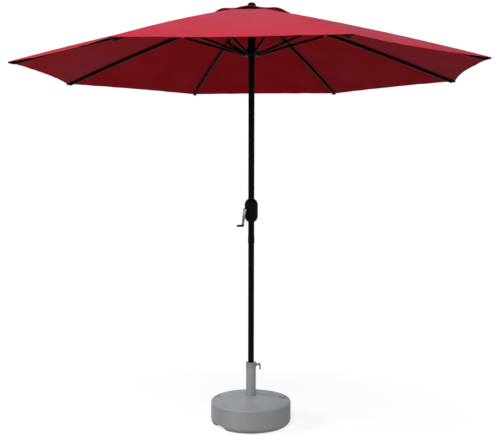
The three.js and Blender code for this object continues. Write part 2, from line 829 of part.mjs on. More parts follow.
// Distances along a rib run from the crown pivot on the straight line to the rib's tip, at `along`,
// and the rib's middle line stands off that line by bow(along).
const bow = (along) => 4 * ribBow * (along / ribReach) * (1 - along / ribReach);
const ribEnd = ribReach - tipCapEnd - seatGap;
const ribStations = (from, to, offset) =>
  arc(ribSteps, from, to, (along) => [along, bow(along) + offset]);

const strutPivot = {
  along: strutAlongRib * cosine(strutBelowChord),
  below: strutAlongRib * sine(strutBelowChord),
};

function makeRib() {
  const bar = outline([
    ...ribStations(lugLength, ribEnd, ribRise),
    ...ribStations(ribEnd, lugLength, -ribDrop),
  ]);
  const earTop = bow(strutPivot.along) - ribDrop + ribWall;
  const ears = outline([
    [strutPivot.along + earSpread, earTop],
    [strutPivot.along - earSpread, earTop],
  ]);
  ears.absarc(strutPivot.along, -strutPivot.below, earRadius, Math.PI, 2 * Math.PI);
  const channelFrom = lugLength + ribSolidStart;
  const channelTo = ribEnd + cutOver;
  const below = -strutPivot.below - 2 * earRadius;
  const channel = outline([
    ...ribStations(channelFrom, channelTo, ribRise - ribWall),
    [channelTo, below],
    [channelFrom, below],
  ]);
  const lugEnd = lugLength + ribSolidStart / 2;
  const lug = outline([[lugEnd, -lugRadius], [lugEnd, lugRadius]]);
  lug.absarc(0, 0, lugRadius, Math.PI / 2, 1.5 * Math.PI);
  const strutPin = rodY(trunnionRadius, ribWidth).translate(strutPivot.along, 0, -strutPivot.below);
  return cut(join(plate(bar, ribWidth), plate(ears, ribWidth)), plate(channel, ribWidth - 2 * ribWall))
    .add(join(plate(lug, lugWidth), rodY(trunnionRadius, trunnionSpan), strutPin));
}

// A plug in the channel's open end, and a nose that narrows towards the hem.
function makeTipCap() {
  const from = ribEnd - tipCapPlug;
  const start = ribReach - tipCapEnd;
  const top = bow(ribEnd) + ribRise - ribWall - seatGap;
  const blunt = ribRise - tipCapBlunt;
  const nose = outline([[start, bow(start) - ribDrop], [start + tipCapEnd / 4, bow(start) - ribDrop]]);
  nose.quadraticCurveTo(ribReach - tipCapBlunt, blunt, ribReach, blunt);
  nose.lineTo(ribReach, ribRise - tipCapBlunt / 3);
  nose.lineTo(ribReach - tipCapBlunt / 3, ribRise);
  nose.lineTo(start, bow(start) + ribRise);
  return join(
    block(from, start + cutOver, ribWidth - 2 * (ribWall + seatGap), bow(from) - ribDrop, top),
    plate(nose, ribWidth)
  );
}

// ---------------------------------------------------------------- struts

const openTurn = radians(ribOpenAngle);
const ribPoint = (along, above) => ({
  radius: crownPivotRadius + along * Math.cos(openTurn) + above * Math.sin(openTurn),
  height: crownPivotHeight - along * Math.sin(openTurn) + above * Math.cos(openTurn),
});
const strutTop = ribPoint(strutPivot.along, -strutPivot.below);
const strutRun = runnerPivotRadius - strutTop.radius;
const strutRise = runnerPivotHeight - strutTop.height;
const strutLength = Math.hypot(strutRun, strutRise);

function makeStrut() {
  const half = strutDepth / 2;
  const bar = outline();
  bar.absarc(0, 0, half, Math.PI / 2, 1.5 * Math.PI);
  bar.absarc(strutLength, 0, half, -Math.PI / 2, Math.PI / 2);
  const bore = strutWidth - 2 * strutWall;
  return cut(
    solid(plate(bar, strutWidth)),
    block(strutSolidEnd, strutLength - strutSolidEnd, bore, -half - cutOver, half - strutWall),
    rodY(trunnionRadius + seatGap, strutWidth + cutOver)
  ).add(solid(rodY(trunnionRadius, trunnionSpan).translate(strutLength, 0, 0)));
}

// ---------------------------------------------------------------- canopy

const halfGore = 180 / ribCount;
const hemReach = ribReach - hemFromTip;
// A straight row of cloth cuts under the rib's curve by this much, so the cloth is raised by it.
const rowRise = ribBow * ((hemReach - openingReach) / panelRows / ribReach) ** 2;
const clothUnderside = ribRise + seatGap + rowRise;

// One panel lies over one rib, from the middle of one gore to the middle of the next.
function makePanel() {
  const columns = panelColumns + 1;
  const panel = new THREE.BoxGeometry(1, 2, 1, panelRows, 2 * columns, 1);
  const place = panel.attributes.position;
  for (let i = 0; i < place.count; i++) {
    const row = place.getX(i) + 0.5;
    const column = Math.round(Math.abs(place.getY(i)) * columns);
    const across = Math.max(0, column - 1) / panelColumns;
    const round = 1 - (1 - across) ** 2;
    const hem = hemReach - hemScallop * round;
    const along = openingReach + (hem - openingReach) * row;
    const lift = clothUnderside + (place.getZ(i) > 0 ? clothThickness : 0);
    const { radius, height } = ribPoint(along, bow(along) + lift);
    const band = column ? ribWidth / 2 + ribBand : 0;
    const edge = radius * cosine(halfGore) * sine(halfGore) - seamGap / 2;
    place.setXYZ(
      i,
      radius * (1 - across * sine(halfGore) ** 2),
      Math.sign(place.getY(i)) * (band + (edge - band) * across),
      height - hemSag * round * (along / ribReach) ** 2
    );
  }
  return panel;
}

// A closed sheet round the Z axis: a top and an underside with the same triangles, and two rims.
function roundSheet(steps, rows, placeTop, thickness) {
  const columns = rows + 1;
  const at = (step, row, under) => 2 * ((step % steps) * columns + row) + under;
  const places = [];
  const triangles = [];
  for (let step = 0; step < steps; step++) {
    for (let row = 0; row < columns; row++) {
      const [x, y, z] = placeTop(row / rows, (2 * Math.PI * step) / steps);
      places.push(x, y, z, x, y, z - thickness);
    }
    for (let row = 0; row < rows; row++) {
      for (const under of [0, 1]) {
        const near = [at(step, row, under), at(step, row + 1, under)];
        const far = [at(step + 1, row + 1, under), at(step + 1, row, under)];
        const [a, b, c, d] = [...near, ...far];
        triangles.push(...(under ? [a, c, b, a, d, c] : [a, b, c, a, c, d]));
      }
    }
    for (const [row, next, last] of [[0, step + 1, step], [rows, step, step + 1]]) {
      const [a, b, c, d] = [at(next, row, 0), at(last, row, 0), at(last, row, 1), at(next, row, 1)];
      triangles.push(a, c, b, a, d, c);
    }
  }
  const sheet = new THREE.BufferGeometry();
  sheet.setAttribute('position', new THREE.Float32BufferAttribute(places, 3));
  return sheet.setIndex(triangles);
}

function makeVent() {
  const top = finialBottom - seatGap;
  const inner = crownNeckRadius + seatGap;
  const level = (ventRadius - crownPivotRadius) / Math.cos(openTurn);
  const lift = bow(level) + clothUnderside + clothThickness;
  const corner = ribPoint(level - lift * Math.tan(openTurn), lift);
  const cornerTop = corner.height + seatGap + clothThickness / Math.cos(openTurn);
  const gore = (2 * Math.PI) / ribCount;
  const firstEdge = radians(firstRibAzimuth) - gore / 2;
  const place = (share, azimuth) => {
    const fromEdge = azimuth - firstEdge;
    const fromMiddle = fromEdge - Math.round(fromEdge / gore) * gore;
    const edge = (ventRadius * Math.cos(gore / 2)) / Math.cos(fromMiddle);
    const radius = inner + share * (edge - inner);
    const arch = ventArch * share ** 2 * (1 - (fromMiddle / (gore / 2)) ** 2);
    return [radius * Math.cos(azimuth), radius * Math.sin(azimuth), top + (cornerTop - top) * share + arch];
  };
  return roundSheet(ventSteps, ventRows, place, clothThickness);
}

umbrella.add(piece('vent_canopy', makeVent(), canopyCloth));

// ---------------------------------------------------------------- the eight spokes

const ribShape = makeRib();
const tipCapShape = makeTipCap();
const strutShape = makeStrut();
const panelShape = makePanel();
ribAzimuths.forEach((azimuth, k) => {
  const number = k + 1;
  const rib = group(
    piece(`rib_${number}`, ribShape, blackPaint),
    piece(`rib_tip_${number}`, tipCapShape, blackPlastic)
  );
  rib.position.set(crownPivotRadius, 0, crownPivotHeight);
  rib.rotation.y = openTurn;
  const strut = piece(`strut_${number}`, strutShape, blackPaint);
  strut.position.set(strutTop.radius, 0, strutTop.height);
  strut.rotation.y = Math.atan2(-strutRise, strutRun);
  const spoke = group(rib, strut, piece(`canopy_panel_${number}`, panelShape, canopyCloth));
  spoke.rotation.z = radians(azimuth);
  umbrella.add(spoke);
});

export default umbrella;
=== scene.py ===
# Patio umbrella with base: the sewn canopy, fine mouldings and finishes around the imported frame.
# Metres, +Z up. Azimuths turn from +X towards +Y.
import json
import math

import bmesh
import bpy
import numpy as np
from mathutils import Matrix, Quaternion, Vector


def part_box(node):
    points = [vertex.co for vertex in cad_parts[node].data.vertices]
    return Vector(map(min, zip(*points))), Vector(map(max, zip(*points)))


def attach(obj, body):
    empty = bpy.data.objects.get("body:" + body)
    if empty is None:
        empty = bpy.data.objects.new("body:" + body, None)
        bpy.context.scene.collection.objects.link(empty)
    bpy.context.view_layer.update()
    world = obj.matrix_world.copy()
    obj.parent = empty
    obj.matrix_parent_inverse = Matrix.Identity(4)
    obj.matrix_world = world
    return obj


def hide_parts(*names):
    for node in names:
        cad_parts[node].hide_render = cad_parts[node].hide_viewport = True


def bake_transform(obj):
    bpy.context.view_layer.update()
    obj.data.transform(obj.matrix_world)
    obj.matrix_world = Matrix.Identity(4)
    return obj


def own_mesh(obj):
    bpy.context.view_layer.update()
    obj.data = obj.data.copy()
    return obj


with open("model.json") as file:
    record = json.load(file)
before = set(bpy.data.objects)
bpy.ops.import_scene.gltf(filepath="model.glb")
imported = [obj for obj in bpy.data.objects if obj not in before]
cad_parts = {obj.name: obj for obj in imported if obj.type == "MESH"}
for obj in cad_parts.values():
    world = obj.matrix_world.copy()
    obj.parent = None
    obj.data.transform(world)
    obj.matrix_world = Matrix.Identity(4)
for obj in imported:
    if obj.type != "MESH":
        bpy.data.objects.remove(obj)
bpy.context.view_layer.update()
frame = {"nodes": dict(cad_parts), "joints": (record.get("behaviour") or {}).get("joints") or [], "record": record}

scene = bpy.context.scene
joints = {joint["name"]: joint for joint in frame["joints"]}


# camera

view = {
    "place": (0.3497, -4.7101, 1.469),
    "towards": (-0.0773, 0.9954, -0.0565),
    "roll": 0.1,  # degrees
    "lens": 58.6,  # millimetres on a 36 mm sensor
}


def makeCamera():
    data = bpy.data.cameras.new("camera")
    data.lens = view["lens"]
    data.sensor_width = 36
    camera = bpy.data.objects.new("camera", data)
    scene.collection.objects.link(camera)
    camera.location = view["place"]
    camera.rotation_mode = "QUATERNION"
    aim = Vector(view["towards"]).to_track_quat("-Z", "Y")
    camera.rotation_quaternion = aim @ Quaternion((0, 0, 1), math.radians(view["roll"]))
    scene.camera = camera


makeCamera()
print("camera set")


# shapes

def linkObject(name, mesh):
    piece = bpy.data.objects.new(name, mesh)
    scene.collection.objects.link(piece)
    return piece


def shadeSmooth(mesh, angle=32):
    mesh.shade_smooth()
    mesh.set_sharp_from_angle(angle=math.radians(angle))


# Points and faces as an object. A closed one has its doubles merged and its faces turned outwards.
def makePiece(name, points, faces, material=None, matrix=None, closed=True, angle=32):
    mesh = bpy.data.meshes.new(name)
    mesh.from_pydata([tuple(p) for p in points], [], faces)
    if closed:
        work = bmesh.new()
        work.from_mesh(mesh)
        bmesh.ops.remove_doubles(work, verts=work.verts, dist=1e-6)
        bmesh.ops.recalc_face_normals(work, faces=work.faces)
        work.to_mesh(mesh)
        work.free()
    if matrix:
        mesh.transform(matrix)
    if material:
        mesh.materials.append(material)
    shadeSmooth(mesh, angle)
    return linkObject(name, mesh)


# A corner of an outline is given as (a, b) or, rounded, as (a, b, radius).
def roundCorners(corners, closed=True, steps=5):
    result = []
    count = len(corners)
    for i, corner in enumerate(corners):
        here = Vector(corner[:2])
        radius = corner[2] if len(corner) > 2 else 0
        if not radius or (not closed and i in (0, count - 1)):
            result.append(tuple(here))
            continue
        before = Vector(corners[i - 1][:2]) - here
        after = Vector(corners[(i + 1) % count][:2]) - here
        half = before.angle(after) / 2
        if half > 1.55:
            result.append(tuple(here))
            continue
        reach = min(radius / math.tan(half), 0.49 * before.length, 0.49 * after.length)
        start = here + before.normalized() * reach
        end = here + after.normalized() * reach
        centre = here + (before.normalized() + after.normalized()).normalized() * (reach / math.cos(half))
        sweep = (end - centre).angle_signed(start - centre)
        for step in range(steps + 1):
            turn = Matrix.Rotation(sweep * step / steps, 2)
            result.append(tuple(centre + turn @ (start - centre)))
    return result


# Turned about Z from (radius, height) pairs. A profile closes on itself or ends on the axis.
def latheMesh(profile, steps=96, closedProfile=False, swell=None):
    points, faces = [], []
    rows = len(profile)
    for step in range(steps):
        azimuth = 2 * math.pi * step / steps
        for radius, height in profile:
            wide = radius * (swell(azimuth, radius, height) if swell else 1)
            points.append((wide * math.cos(azimuth), wide * math.sin(azimuth), height))
    for step in range(steps):
        here, there = step * rows, (step + 1) % steps * rows
        for row in range(rows if closedProfile else rows - 1):
            up = (row + 1) % rows
            corners = [here + row, there + row, there + up, here + up]
            if abs(profile[row][0]) < 1e-9:
                corners.remove(there + row)
            elif abs(profile[up][0]) < 1e-9:
                corners.remove(there + up)
            faces.append(corners)
    return points, faces


def lathe(name, profile, material=None, steps=96, closedProfile=False, matrix=None, swell=None, angle=32):
    points, faces = latheMesh(profile, steps, closedProfile, swell)
    return makePiece(name, points, faces, material, matrix, angle=angle)


# A hollow turned part from its inner radius, outer radius, bottom and top, with softened edges.
def sleeve(name, inner, outer, bottom, top, material, soft=0.0004, steps=96):
    corners = [(inner, bottom, soft), (outer, bottom, soft), (outer, top, soft), (inner, top, soft)]
    return lathe(name, roundCorners(corners, steps=3), material, steps, closedProfile=True)


# An outline in X and Z, as thick as `width` along Y about y = offset.
def prism(name, outline, width, material=None, matrix=None, offset=0.0, angle=32):
    count = len(outline)
    points = [(x, offset + side * width / 2, z) for side in (-1, 1) for x, z in outline]
    faces = [list(range(count)), list(range(2 * count - 1, count - 1, -1))]
    faces += [[i, i + count, (i + 1) % count + count, (i + 1) % count] for i in range(count)]
    return makePiece(name, points, faces, material, matrix, angle=angle)


def slab(name, lows, highs, material=None, matrix=None):
    outline = [(lows[0], lows[2]), (highs[0], lows[2]), (highs[0], highs[2]), (lows[0], highs[2])]
    return prism(name, outline, highs[1] - lows[1], material, matrix, offset=(lows[1] + highs[1]) / 2)


def bar(name, radius, start, end, material=None, steps=32, soft=0.0):
    axis = Vector(end) - Vector(start)
    corners = [(0, 0), (radius, 0, soft), (radius, axis.length, soft), (0, axis.length)]
    profile = roundCorners(corners, closed=False, steps=3)
    turn = axis.to_track_quat("Z", "Y").to_matrix().to_4x4()
    return lathe(name, profile, material, steps, matrix=Matrix.Translation(start) @ turn)


# What the modifiers make becomes the piece's own mesh.
def settle(piece, angle=None):
    graph = bpy.context.evaluated_depsgraph_get()
    mesh = bpy.data.meshes.new_from_object(piece.evaluated_get(graph), depsgraph=graph)
    piece.modifiers.clear()
    piece.data = mesh
    if angle:
        shadeSmooth(mesh, angle)
    return piece


def combine(piece, operation, *others, angle=32):
    for other in others:
        modifier = piece.modifiers.new("combine", "BOOLEAN")
        modifier.operation = operation
        modifier.solver = "EXACT"
        modifier.object = other
    settle(piece, angle)
    for other in others:
        bpy.data.objects.remove(other)
    return piece


def cutFrom(piece, *others, angle=32):
    return combine(piece, "DIFFERENCE", *others, angle=angle)


def addTo(piece, *others, angle=32):
    return combine(piece, "UNION", *others, angle=angle)


def soften(piece, width, segments=2, limit=40, angle=32):
    modifier = piece.modifiers.new("soften", "BEVEL")
    modifier.width = width
    modifier.segments = segments
    modifier.limit_method = "ANGLE"
    modifier.angle_limit = math.radians(limit)
    modifier.harden_normals = False
    return settle(piece, angle)


# Several objects as one, each keeping its own closed shells.
def gather(name, pieces):
    work = bmesh.new()
    materials = []
    for piece in pieces:
        start = len(work.faces)
        work.from_mesh(piece.data)
        work.faces.ensure_lookup_table()
        slots = list(piece.data.materials)
        for face in work.faces[start:]:
            material = slots[face.material_index] if slots else None
            if material not in materials:
                materials.append(material)
            face.material_index = materials.index(material)
    mesh = bpy.data.meshes.new(name)
    work.to_mesh(mesh)
    work.free()
    for material in materials:
        mesh.materials.append(material)
    for piece in pieces:
        bpy.data.objects.remove(piece)
    return linkObject(name, mesh)


def moved(piece, matrix):
    piece.data.transform(matrix)
    piece.data.update()
    return piece


def copyPiece(piece, name, matrix):
    mesh = piece.data.copy()
    mesh.transform(matrix)
    return linkObject(name, mesh)


def finishPiece(piece, slot, body, *nodes):
    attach(piece, body)
    if nodes:
        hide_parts(*nodes)
    return piece


# materials

def linearColour(hexColour, alpha=1.0):
    channels = [int(hexColour[i:i + 2], 16) / 255 for i in (0, 2, 4)]
    return [c / 12.92 if c <= 0.04045 else ((c + 0.055) / 1.055) ** 2.4 for c in channels] + [alpha]


# A node with its settings, and its inputs as values or as the sockets that feed them.
def addNode(tree, kind, settings={}, inputs={}):
    node = tree.nodes.new(kind)
    for name, value in settings.items():
        setattr(node, name, value)
    for key, value in inputs.items():
        if isinstance(value, bpy.types.NodeSocket):
            tree.links.new(value, node.inputs[key])
        else:
            node.inputs[key].default_value = value
    return node


# Two colours mixed where a noise is high: from `low` to `high` of its values.
def mottle(tree, place, scale, low, high, first, second, detail=3.0, stretch=(1, 1, 1)):
    spread = addNode(tree, "ShaderNodeMapping", {}, {"Vector": place, "Scale": stretch})
    noise = addNode(tree, "ShaderNodeTexNoise", {},
                    {"Vector": spread.outputs[0], "Scale": scale, "Detail": detail})
    share = addNode(tree, "ShaderNodeMapRange", {"interpolation_type": "SMOOTHSTEP"},
                    {"Value": noise.outputs[0], "From Min": low, "From Max": high})
    return addNode(tree, "ShaderNodeMix", {"data_type": "RGBA"},
                   {0: share.outputs[0], 6: first, 7: second}).outputs[2]


def noiseRange(tree, place, scale, fromValue, toValue, detail=2.0, stretch=(1, 1, 1)):
    spread = addNode(tree, "ShaderNodeMapping", {}, {"Vector": place, "Scale": stretch})
    noise = addNode(tree, "ShaderNodeTexNoise", {},
                    {"Vector": spread.outputs[0], "Scale": scale, "Detail": detail})
    return addNode(tree, "ShaderNodeMapRange", {},
                   {"Value": noise.outputs[0], "From Min": 0.3, "From Max": 0.7,
                    "To Min": fromValue, "To Max": toValue}).outputs[0]


def newMaterial(name, **fixed):
    material = bpy.data.materials.new(name)
    material.use_nodes = True
    tree = material.node_tree
    shader = tree.nodes["Principled BSDF"]
    for key, value in fixed.items():
        shader.inputs[key.replace("_", " ")].default_value = value
    place = addNode(tree, "ShaderNodeTexCoord").outputs["Object"]
    return material, tree, shader, place


def wire(tree, shader, **sockets):
    for key, socket in sockets.items():
        tree.links.new(socket, shader.inputs[key.replace("_", " ")])


def bumpFrom(tree, height, distance, strength=1.0):
    return addNode(tree, "ShaderNodeBump", {},
                   {"Height": height, "Distance": distance, "Strength": strength}).outputs[0]


cloth = {
    "colour": "BB1822",
    "faded": "C42031",
    "shadow": "B0161F",
    "thread": 0.0024,  # a real thread is 0.5 mm; drawn as coarse as a close view needs
    "weave": 0.00022,
    "slub": 0.00012,
}


# Solution-dyed polyester, plain woven: matt, with a pale bloom at a glancing angle, a fine over-and-under
# grid of threads, and slightly uneven yarns that show as short streaks both ways.
def wovenPolyester():
    material, tree, shader, _ = newMaterial(
        "wovenPolyester", Roughness=0.85, Sheen_Weight=0.24, Sheen_Roughness=0.24, Specular_IOR_Level=0.04,
        Sheen_Tint=linearColour("E8C4EE"))
    place = addNode(tree, "ShaderNodeUVMap", {"uv_map": "weave"}).outputs[0]
    parts = addNode(tree, "ShaderNodeSeparateXYZ", {}, {0: place})
    waves = []
    for axis in (0, 1):
        turns = addNode(tree, "ShaderNodeMath", {"operation": "MULTIPLY"},
                        {0: parts.outputs[axis], 1: math.pi / cloth["thread"]})
        wave = addNode(tree, "ShaderNodeMath", {"operation": "SINE"}, {0: turns.outputs[0]})
        waves.append(wave.outputs[0])
    weave = addNode(tree, "ShaderNodeMath", {"operation": "MULTIPLY"}, {0: waves[0], 1: waves[1]}).outputs[0]
    warp = noiseRange(tree, place, 1.0, -1, 1, 3, (900, 28, 1))
    weft = noiseRange(tree, place, 1.0, -1, 1, 3, (28, 900, 1))
    slubs = addNode(tree, "ShaderNodeMath", {"operation": "ADD"}, {0: warp, 1: weft}).outputs[0]
    broad = mottle(tree, place, 2.6, 0.3, 0.7, linearColour(cloth["colour"]), linearColour(cloth["faded"]))
    streak = addNode(tree, "ShaderNodeMapRange", {}, {"Value": slubs, "From Min": -2, "From Max": 2,
                                                      "To Min": 0, "To Max": 0.5}).outputs[0]
    colour = addNode(tree, "ShaderNodeMix", {"data_type": "RGBA"},
                     {0: streak, 6: broad, 7: linearColour(cloth["shadow"])}).outputs[2]
    first = addNode(tree, "ShaderNodeBump", {},
                    {"Height": weave, "Distance": cloth["weave"], "Strength": 0.6})
    second = addNode(tree, "ShaderNodeBump", {},
                     {"Height": slubs, "Distance": cloth["slub"], "Strength": 0.5,
                      "Normal": first.outputs[0]})
    wire(tree, shader, Base_Color=colour, Normal=second.outputs[0])
    return material


# Twisted polyester sewing thread, a little shinier than the cloth that it holds.
def sewingThread():
    material, tree, shader, place = newMaterial("sewingThread", Roughness=0.55, Sheen_Weight=0.2)
    twist = addNode(tree, "ShaderNodeTexWave", {"bands_direction": "DIAGONAL"},
                    {"Vector": place, "Scale": 900})
    colour = mottle(tree, place, 300, 0.35, 0.65, linearColour("C0303F"), linearColour("9C1425"))
    wire(tree, shader, Base_Color=colour, Normal=bumpFrom(tree, twist.outputs[1], 0.0001, 0.5))
    return material


# Polyester powder coat on steel: satin black with a fine orange peel and a few dusty rubs.
def powderCoat():
    material, tree, shader, place = newMaterial("blackPowderCoat", Specular_IOR_Level=0.045)
    colour = mottle(tree, place, 9, 0.52, 0.78, linearColour("080808"), linearColour("0E0E0D"), 5,
                    (1, 1, 0.25))
    peel = addNode(tree, "ShaderNodeTexNoise", {}, {"Vector": place, "Scale": 750, "Detail": 1})
    rough = noiseRange(tree, place, 14, 0.46, 0.62, 4, (1, 1, 0.3))
    wire(tree, shader, Base_Color=colour, Roughness=rough,
         Normal=bumpFrom(tree, peel.outputs[0], 0.00006, 0.6))
    return material


# Injection-moulded black ABS with a spark-eroded matt grain, greyer where hands rub it.
def mouldedAbs():
    material, tree, shader, place = newMaterial("blackMouldedAbs", Specular_IOR_Level=0.05)
    colour = mottle(tree, place, 30, 0.5, 0.8, linearColour("0A0A09"), linearColour("121211"), 4)
    grain = addNode(tree, "ShaderNodeTexNoise", {}, {"Vector": place, "Scale": 1400, "Detail": 2})
    rough = noiseRange(tree, place, 40, 0.48, 0.62)
    wire(tree, shader, Base_Color=colour, Roughness=rough,
         Normal=bumpFrom(tree, grain.outputs[0], 0.00007, 0.6))
    return material


# Blow-moulded HDPE: soft grey, waxy, with the shallow waves that the parison leaves and a fine dusty bloom.
# The top is painted paler and bluer than the side, as a painted highlight of the light that falls on it.
def blowMouldedHdpe():
    material, tree, shader, place = newMaterial("greyBlowMouldedHdpe", Specular_IOR_Level=0.35)
    # painted highlight: the side's grey, and a paler, bluer copy of it for the top where the light falls
    side = mottle(tree, place, 5, 0.3, 0.7, linearColour("929293"), linearColour("8A8A8C"), 3)
    top = mottle(tree, place, 5, 0.3, 0.7, linearColour("989EA4"), linearColour("91979D"), 3)
    height = addNode(tree, "ShaderNodeSeparateXYZ", {}, {0: place}).outputs[2]
    # painted top light: 0 on the side, 1 on the top, blending in between 0.125 and 0.150 m
    paintedTopLight = addNode(tree, "ShaderNodeMapRange", {"interpolation_type": "SMOOTHSTEP"},
                     {"Value": height, "From Min": 0.125, "From Max": 0.150}).outputs[0]
    base = addNode(tree, "ShaderNodeMix", {"data_type": "RGBA"}, {0: paintedTopLight, 6: side, 7: top}).outputs[2]
    dust = addNode(tree, "ShaderNodeTexNoise", {}, {"Vector": place, "Scale": 60, "Detail": 6})
    speckle = addNode(tree, "ShaderNodeMapRange", {}, {"Value": dust.outputs[0], "From Min": 0.55,
                                                       "From Max": 0.8, "To Max": 0.35}).outputs[0]
    colour = addNode(tree, "ShaderNodeMix", {"data_type": "RGBA"},
                     {0: speckle, 6: base, 7: linearColour("A5A7A9")}).outputs[2]
    waves = addNode(tree, "ShaderNodeTexNoise", {}, {"Vector": place, "Scale": 22, "Detail": 1})
    grain = addNode(tree, "ShaderNodeTexNoise", {}, {"Vector": place, "Scale": 900, "Detail": 2})
    first = addNode(tree, "ShaderNodeBump", {},
                    {"Height": waves.outputs[0], "Distance": 0.0012, "Strength": 0.5})
    second = addNode(tree, "ShaderNodeBump", {}, {"Height": grain.outputs[0], "Distance": 0.00008,
                                                  "Strength": 0.5, "Normal": first.outputs[0]})
    rough = noiseRange(tree, place, 18, 0.46, 0.62, 4)
    wire(tree, shader, Base_Color=colour, Roughness=rough, Normal=second.outputs[0])
    return material


# The same grey, injection-moulded in a polished steel mould: plainer and a little darker,
# with a fine even grain.
def injectedHdpe():
    material, tree, shader, place = newMaterial("greyInjectedHdpe", Specular_IOR_Level=0.35)
    colour = mottle(tree, place, 40, 0.35, 0.7, linearColour("858686"), linearColour("7C7D7D"), 4)
    grain = addNode(tree, "ShaderNodeTexNoise", {}, {"Vector": place, "Scale": 1100, "Detail": 2})
    rough = noiseRange(tree, place, 30, 0.42, 0.56, 4)
    wire(tree, shader, Base_Color=colour, Roughness=rough,
         Normal=bumpFrom(tree, grain.outputs[0], 0.00007, 0.5))
    return material


# Sprayed grey enamel on a welded steel tube: smoother than the moulding, with faint runs down its length.
def greyEnamel():
    material, tree, shader, place = newMaterial("greyPaintedSteel", Specular_IOR_Level=0.4)
    colour = mottle(tree, place, 10, 0.35, 0.7, linearColour("8A8B8A"), linearColour("828382"), 4,
                    (1, 1, 0.15))
    peel = addNode(tree, "ShaderNodeTexNoise", {}, {"Vector": place, "Scale": 420, "Detail": 1})
    rough = noiseRange(tree, place, 20, 0.38, 0.5, 3, (1, 1, 0.2))
    wire(tree, shader, Base_Color=colour, Roughness=rough,
         Normal=bumpFrom(tree, peel.outputs[0], 0.00008, 0.5))
    return material


# Bright zinc plate on stamped steel: cool grey metal with rolling lines and cloudy passivation, turning duller
# and darker below the crank's axis, over the 45 mm down the crank's arm.
def zincPlate():
    material, tree, shader, place = newMaterial("zincPlatedSteel", Metallic=1.0)
    bright = mottle(tree, place, 45, 0.3, 0.7, linearColour("C0C1C3"), linearColour("A6A7AA"), 4)
    dull = mottle(tree, place, 60, 0.3, 0.7, linearColour("77787A"), linearColour("58595B"), 4)
    height = addNode(tree, "ShaderNodeSeparateXYZ", {}, {0: place}).outputs[2]
    crankHeight = joints["crank_turn"]["pos_m"][2]
    # darker towards the bottom: the bright zinc colours blend into the dull ones over 45 mm below the crank's axis
    darkerBelowCrank = addNode(tree, "ShaderNodeMapRange", {"interpolation_type": "SMOOTHSTEP"},
                      {"Value": height, "From Min": crankHeight, "From Max": crankHeight - 0.045}).outputs[0]
    colour = addNode(tree, "ShaderNodeMix", {"data_type": "RGBA"},
                     {0: darkerBelowCrank, 6: bright, 7: dull}).outputs[2]
    lines = addNode(tree, "ShaderNodeMapping", {}, {"Vector": place, "Scale": (1, 1, 0.08)})
    drawn = addNode(tree, "ShaderNodeTexNoise", {}, {"Vector": lines.outputs[0], "Scale": 1600, "Detail": 2})
    rough = noiseRange(tree, place, 60, 0.28, 0.44, 4)
    wire(tree, shader, Base_Color=colour, Roughness=rough,
         Normal=bumpFrom(tree, drawn.outputs[0], 0.00005, 0.5))
    return material


# Moulded EPDM rubber: near black, dull, faintly dusty.
def sealRubber():
    material, tree, shader, place = newMaterial("blackEpdmRubber", Roughness=0.78, Specular_IOR_Level=0.3)
    colour = mottle(tree, place, 120, 0.4, 0.75, linearColour("191919"), linearColour("2A2A29"), 4)
    grain = addNode(tree, "ShaderNodeTexNoise", {}, {"Vector": place, "Scale": 1500, "Detail": 1})
    wire(tree, shader, Base_Color=colour, Normal=bumpFrom(tree, grain.outputs[0], 0.00006, 0.5))
    return material


# Braided polyester cord: dark yarns with a fine fuzz.
def cordYarn():
    material, tree, shader, place = newMaterial("braidedPolyesterCord", Roughness=0.8, Sheen_Weight=0.25)
    colour = mottle(tree, place, 500, 0.35, 0.65, linearColour("202020"), linearColour("343434"), 2)
    yarn = addNode(tree, "ShaderNodeTexWave", {"bands_direction": "DIAGONAL"},
                   {"Vector": place, "Scale": 380, "Distortion": 2})
    wire(tree, shader, Base_Color=colour, Normal=bumpFrom(tree, yarn.outputs[1], 0.0002, 0.6))
    return material


# The water inside the base: clear, faintly green.
def stillWater():
    material, tree, shader, place = newMaterial("stillWater", Roughness=0.05, Transmission_Weight=0.9,
                                                IOR=1.333)
    colour = mottle(tree, place, 8, 0.3, 0.7, linearColour("BFD6D4"), linearColour("A9C6C4"))
    ripple = addNode(tree, "ShaderNodeTexNoise", {}, {"Vector": place, "Scale": 14, "Detail": 2})
    wire(tree, shader, Base_Color=colour, Normal=bumpFrom(tree, ripple.outputs[0], 0.0005, 0.3))
    return material


fabric = wovenPolyester()
thread = sewingThread()
coat = powderCoat()
abs_ = mouldedAbs()
hdpe = blowMouldedHdpe()
injected = injectedHdpe()
enamel = greyEnamel()
zinc = zincPlate()
rubber = sealRubber()
yarn = cordYarn()
water = stillWater()

slotFinishes = {
    "canopy_fabric": fabric, "black_powder_coat": coat, "black_plastic": abs_, "grey_hdpe": hdpe,
    "grey_painted_steel": enamel, "plated_steel": zinc, "rubber_seal": rubber, "lift_cord": yarn,
    "water": water,
}
for subpart in frame["record"]["subparts"]:
    node = frame["nodes"][subpart["node"]]
    node.data.materials.clear()
    node.data.materials.append(slotFinishes[subpart["material_slot"]])
print("materials:", len(slotFinishes) + 2)


# geometry node trees

# A node tree that takes geometry and named sizes, and hands geometry on.
def newTree(name, sizes):
    tree = bpy.data.node_groups.new(name, "GeometryNodeTree")
    tree.interface.new_socket("Geometry", in_out="INPUT", socket_type="NodeSocketGeometry")
    for label, kind in sizes.items():
        tree.interface.new_socket(label, in_out="INPUT", socket_type="NodeSocket" + kind)
    tree.interface.new_socket("Geometry", in_out="OUTPUT", socket_type="NodeSocketGeometry")
    return tree, tree.nodes.new("NodeGroupInput").outputs


def endTree(tree, geometry, material):
    real = addNode(tree, "GeometryNodeRealizeInstances", {}, {0: geometry})
    smooth = addNode(tree, "GeometryNodeSetShadeSmooth", {}, {0: real.outputs[0]})
    painted = addNode(tree, "GeometryNodeSetMaterial", {}, {0: smooth.outputs[0], "Material": material})
    addNode(tree, "NodeGroupOutput", {}, {0: painted.outputs[0]})
    return tree


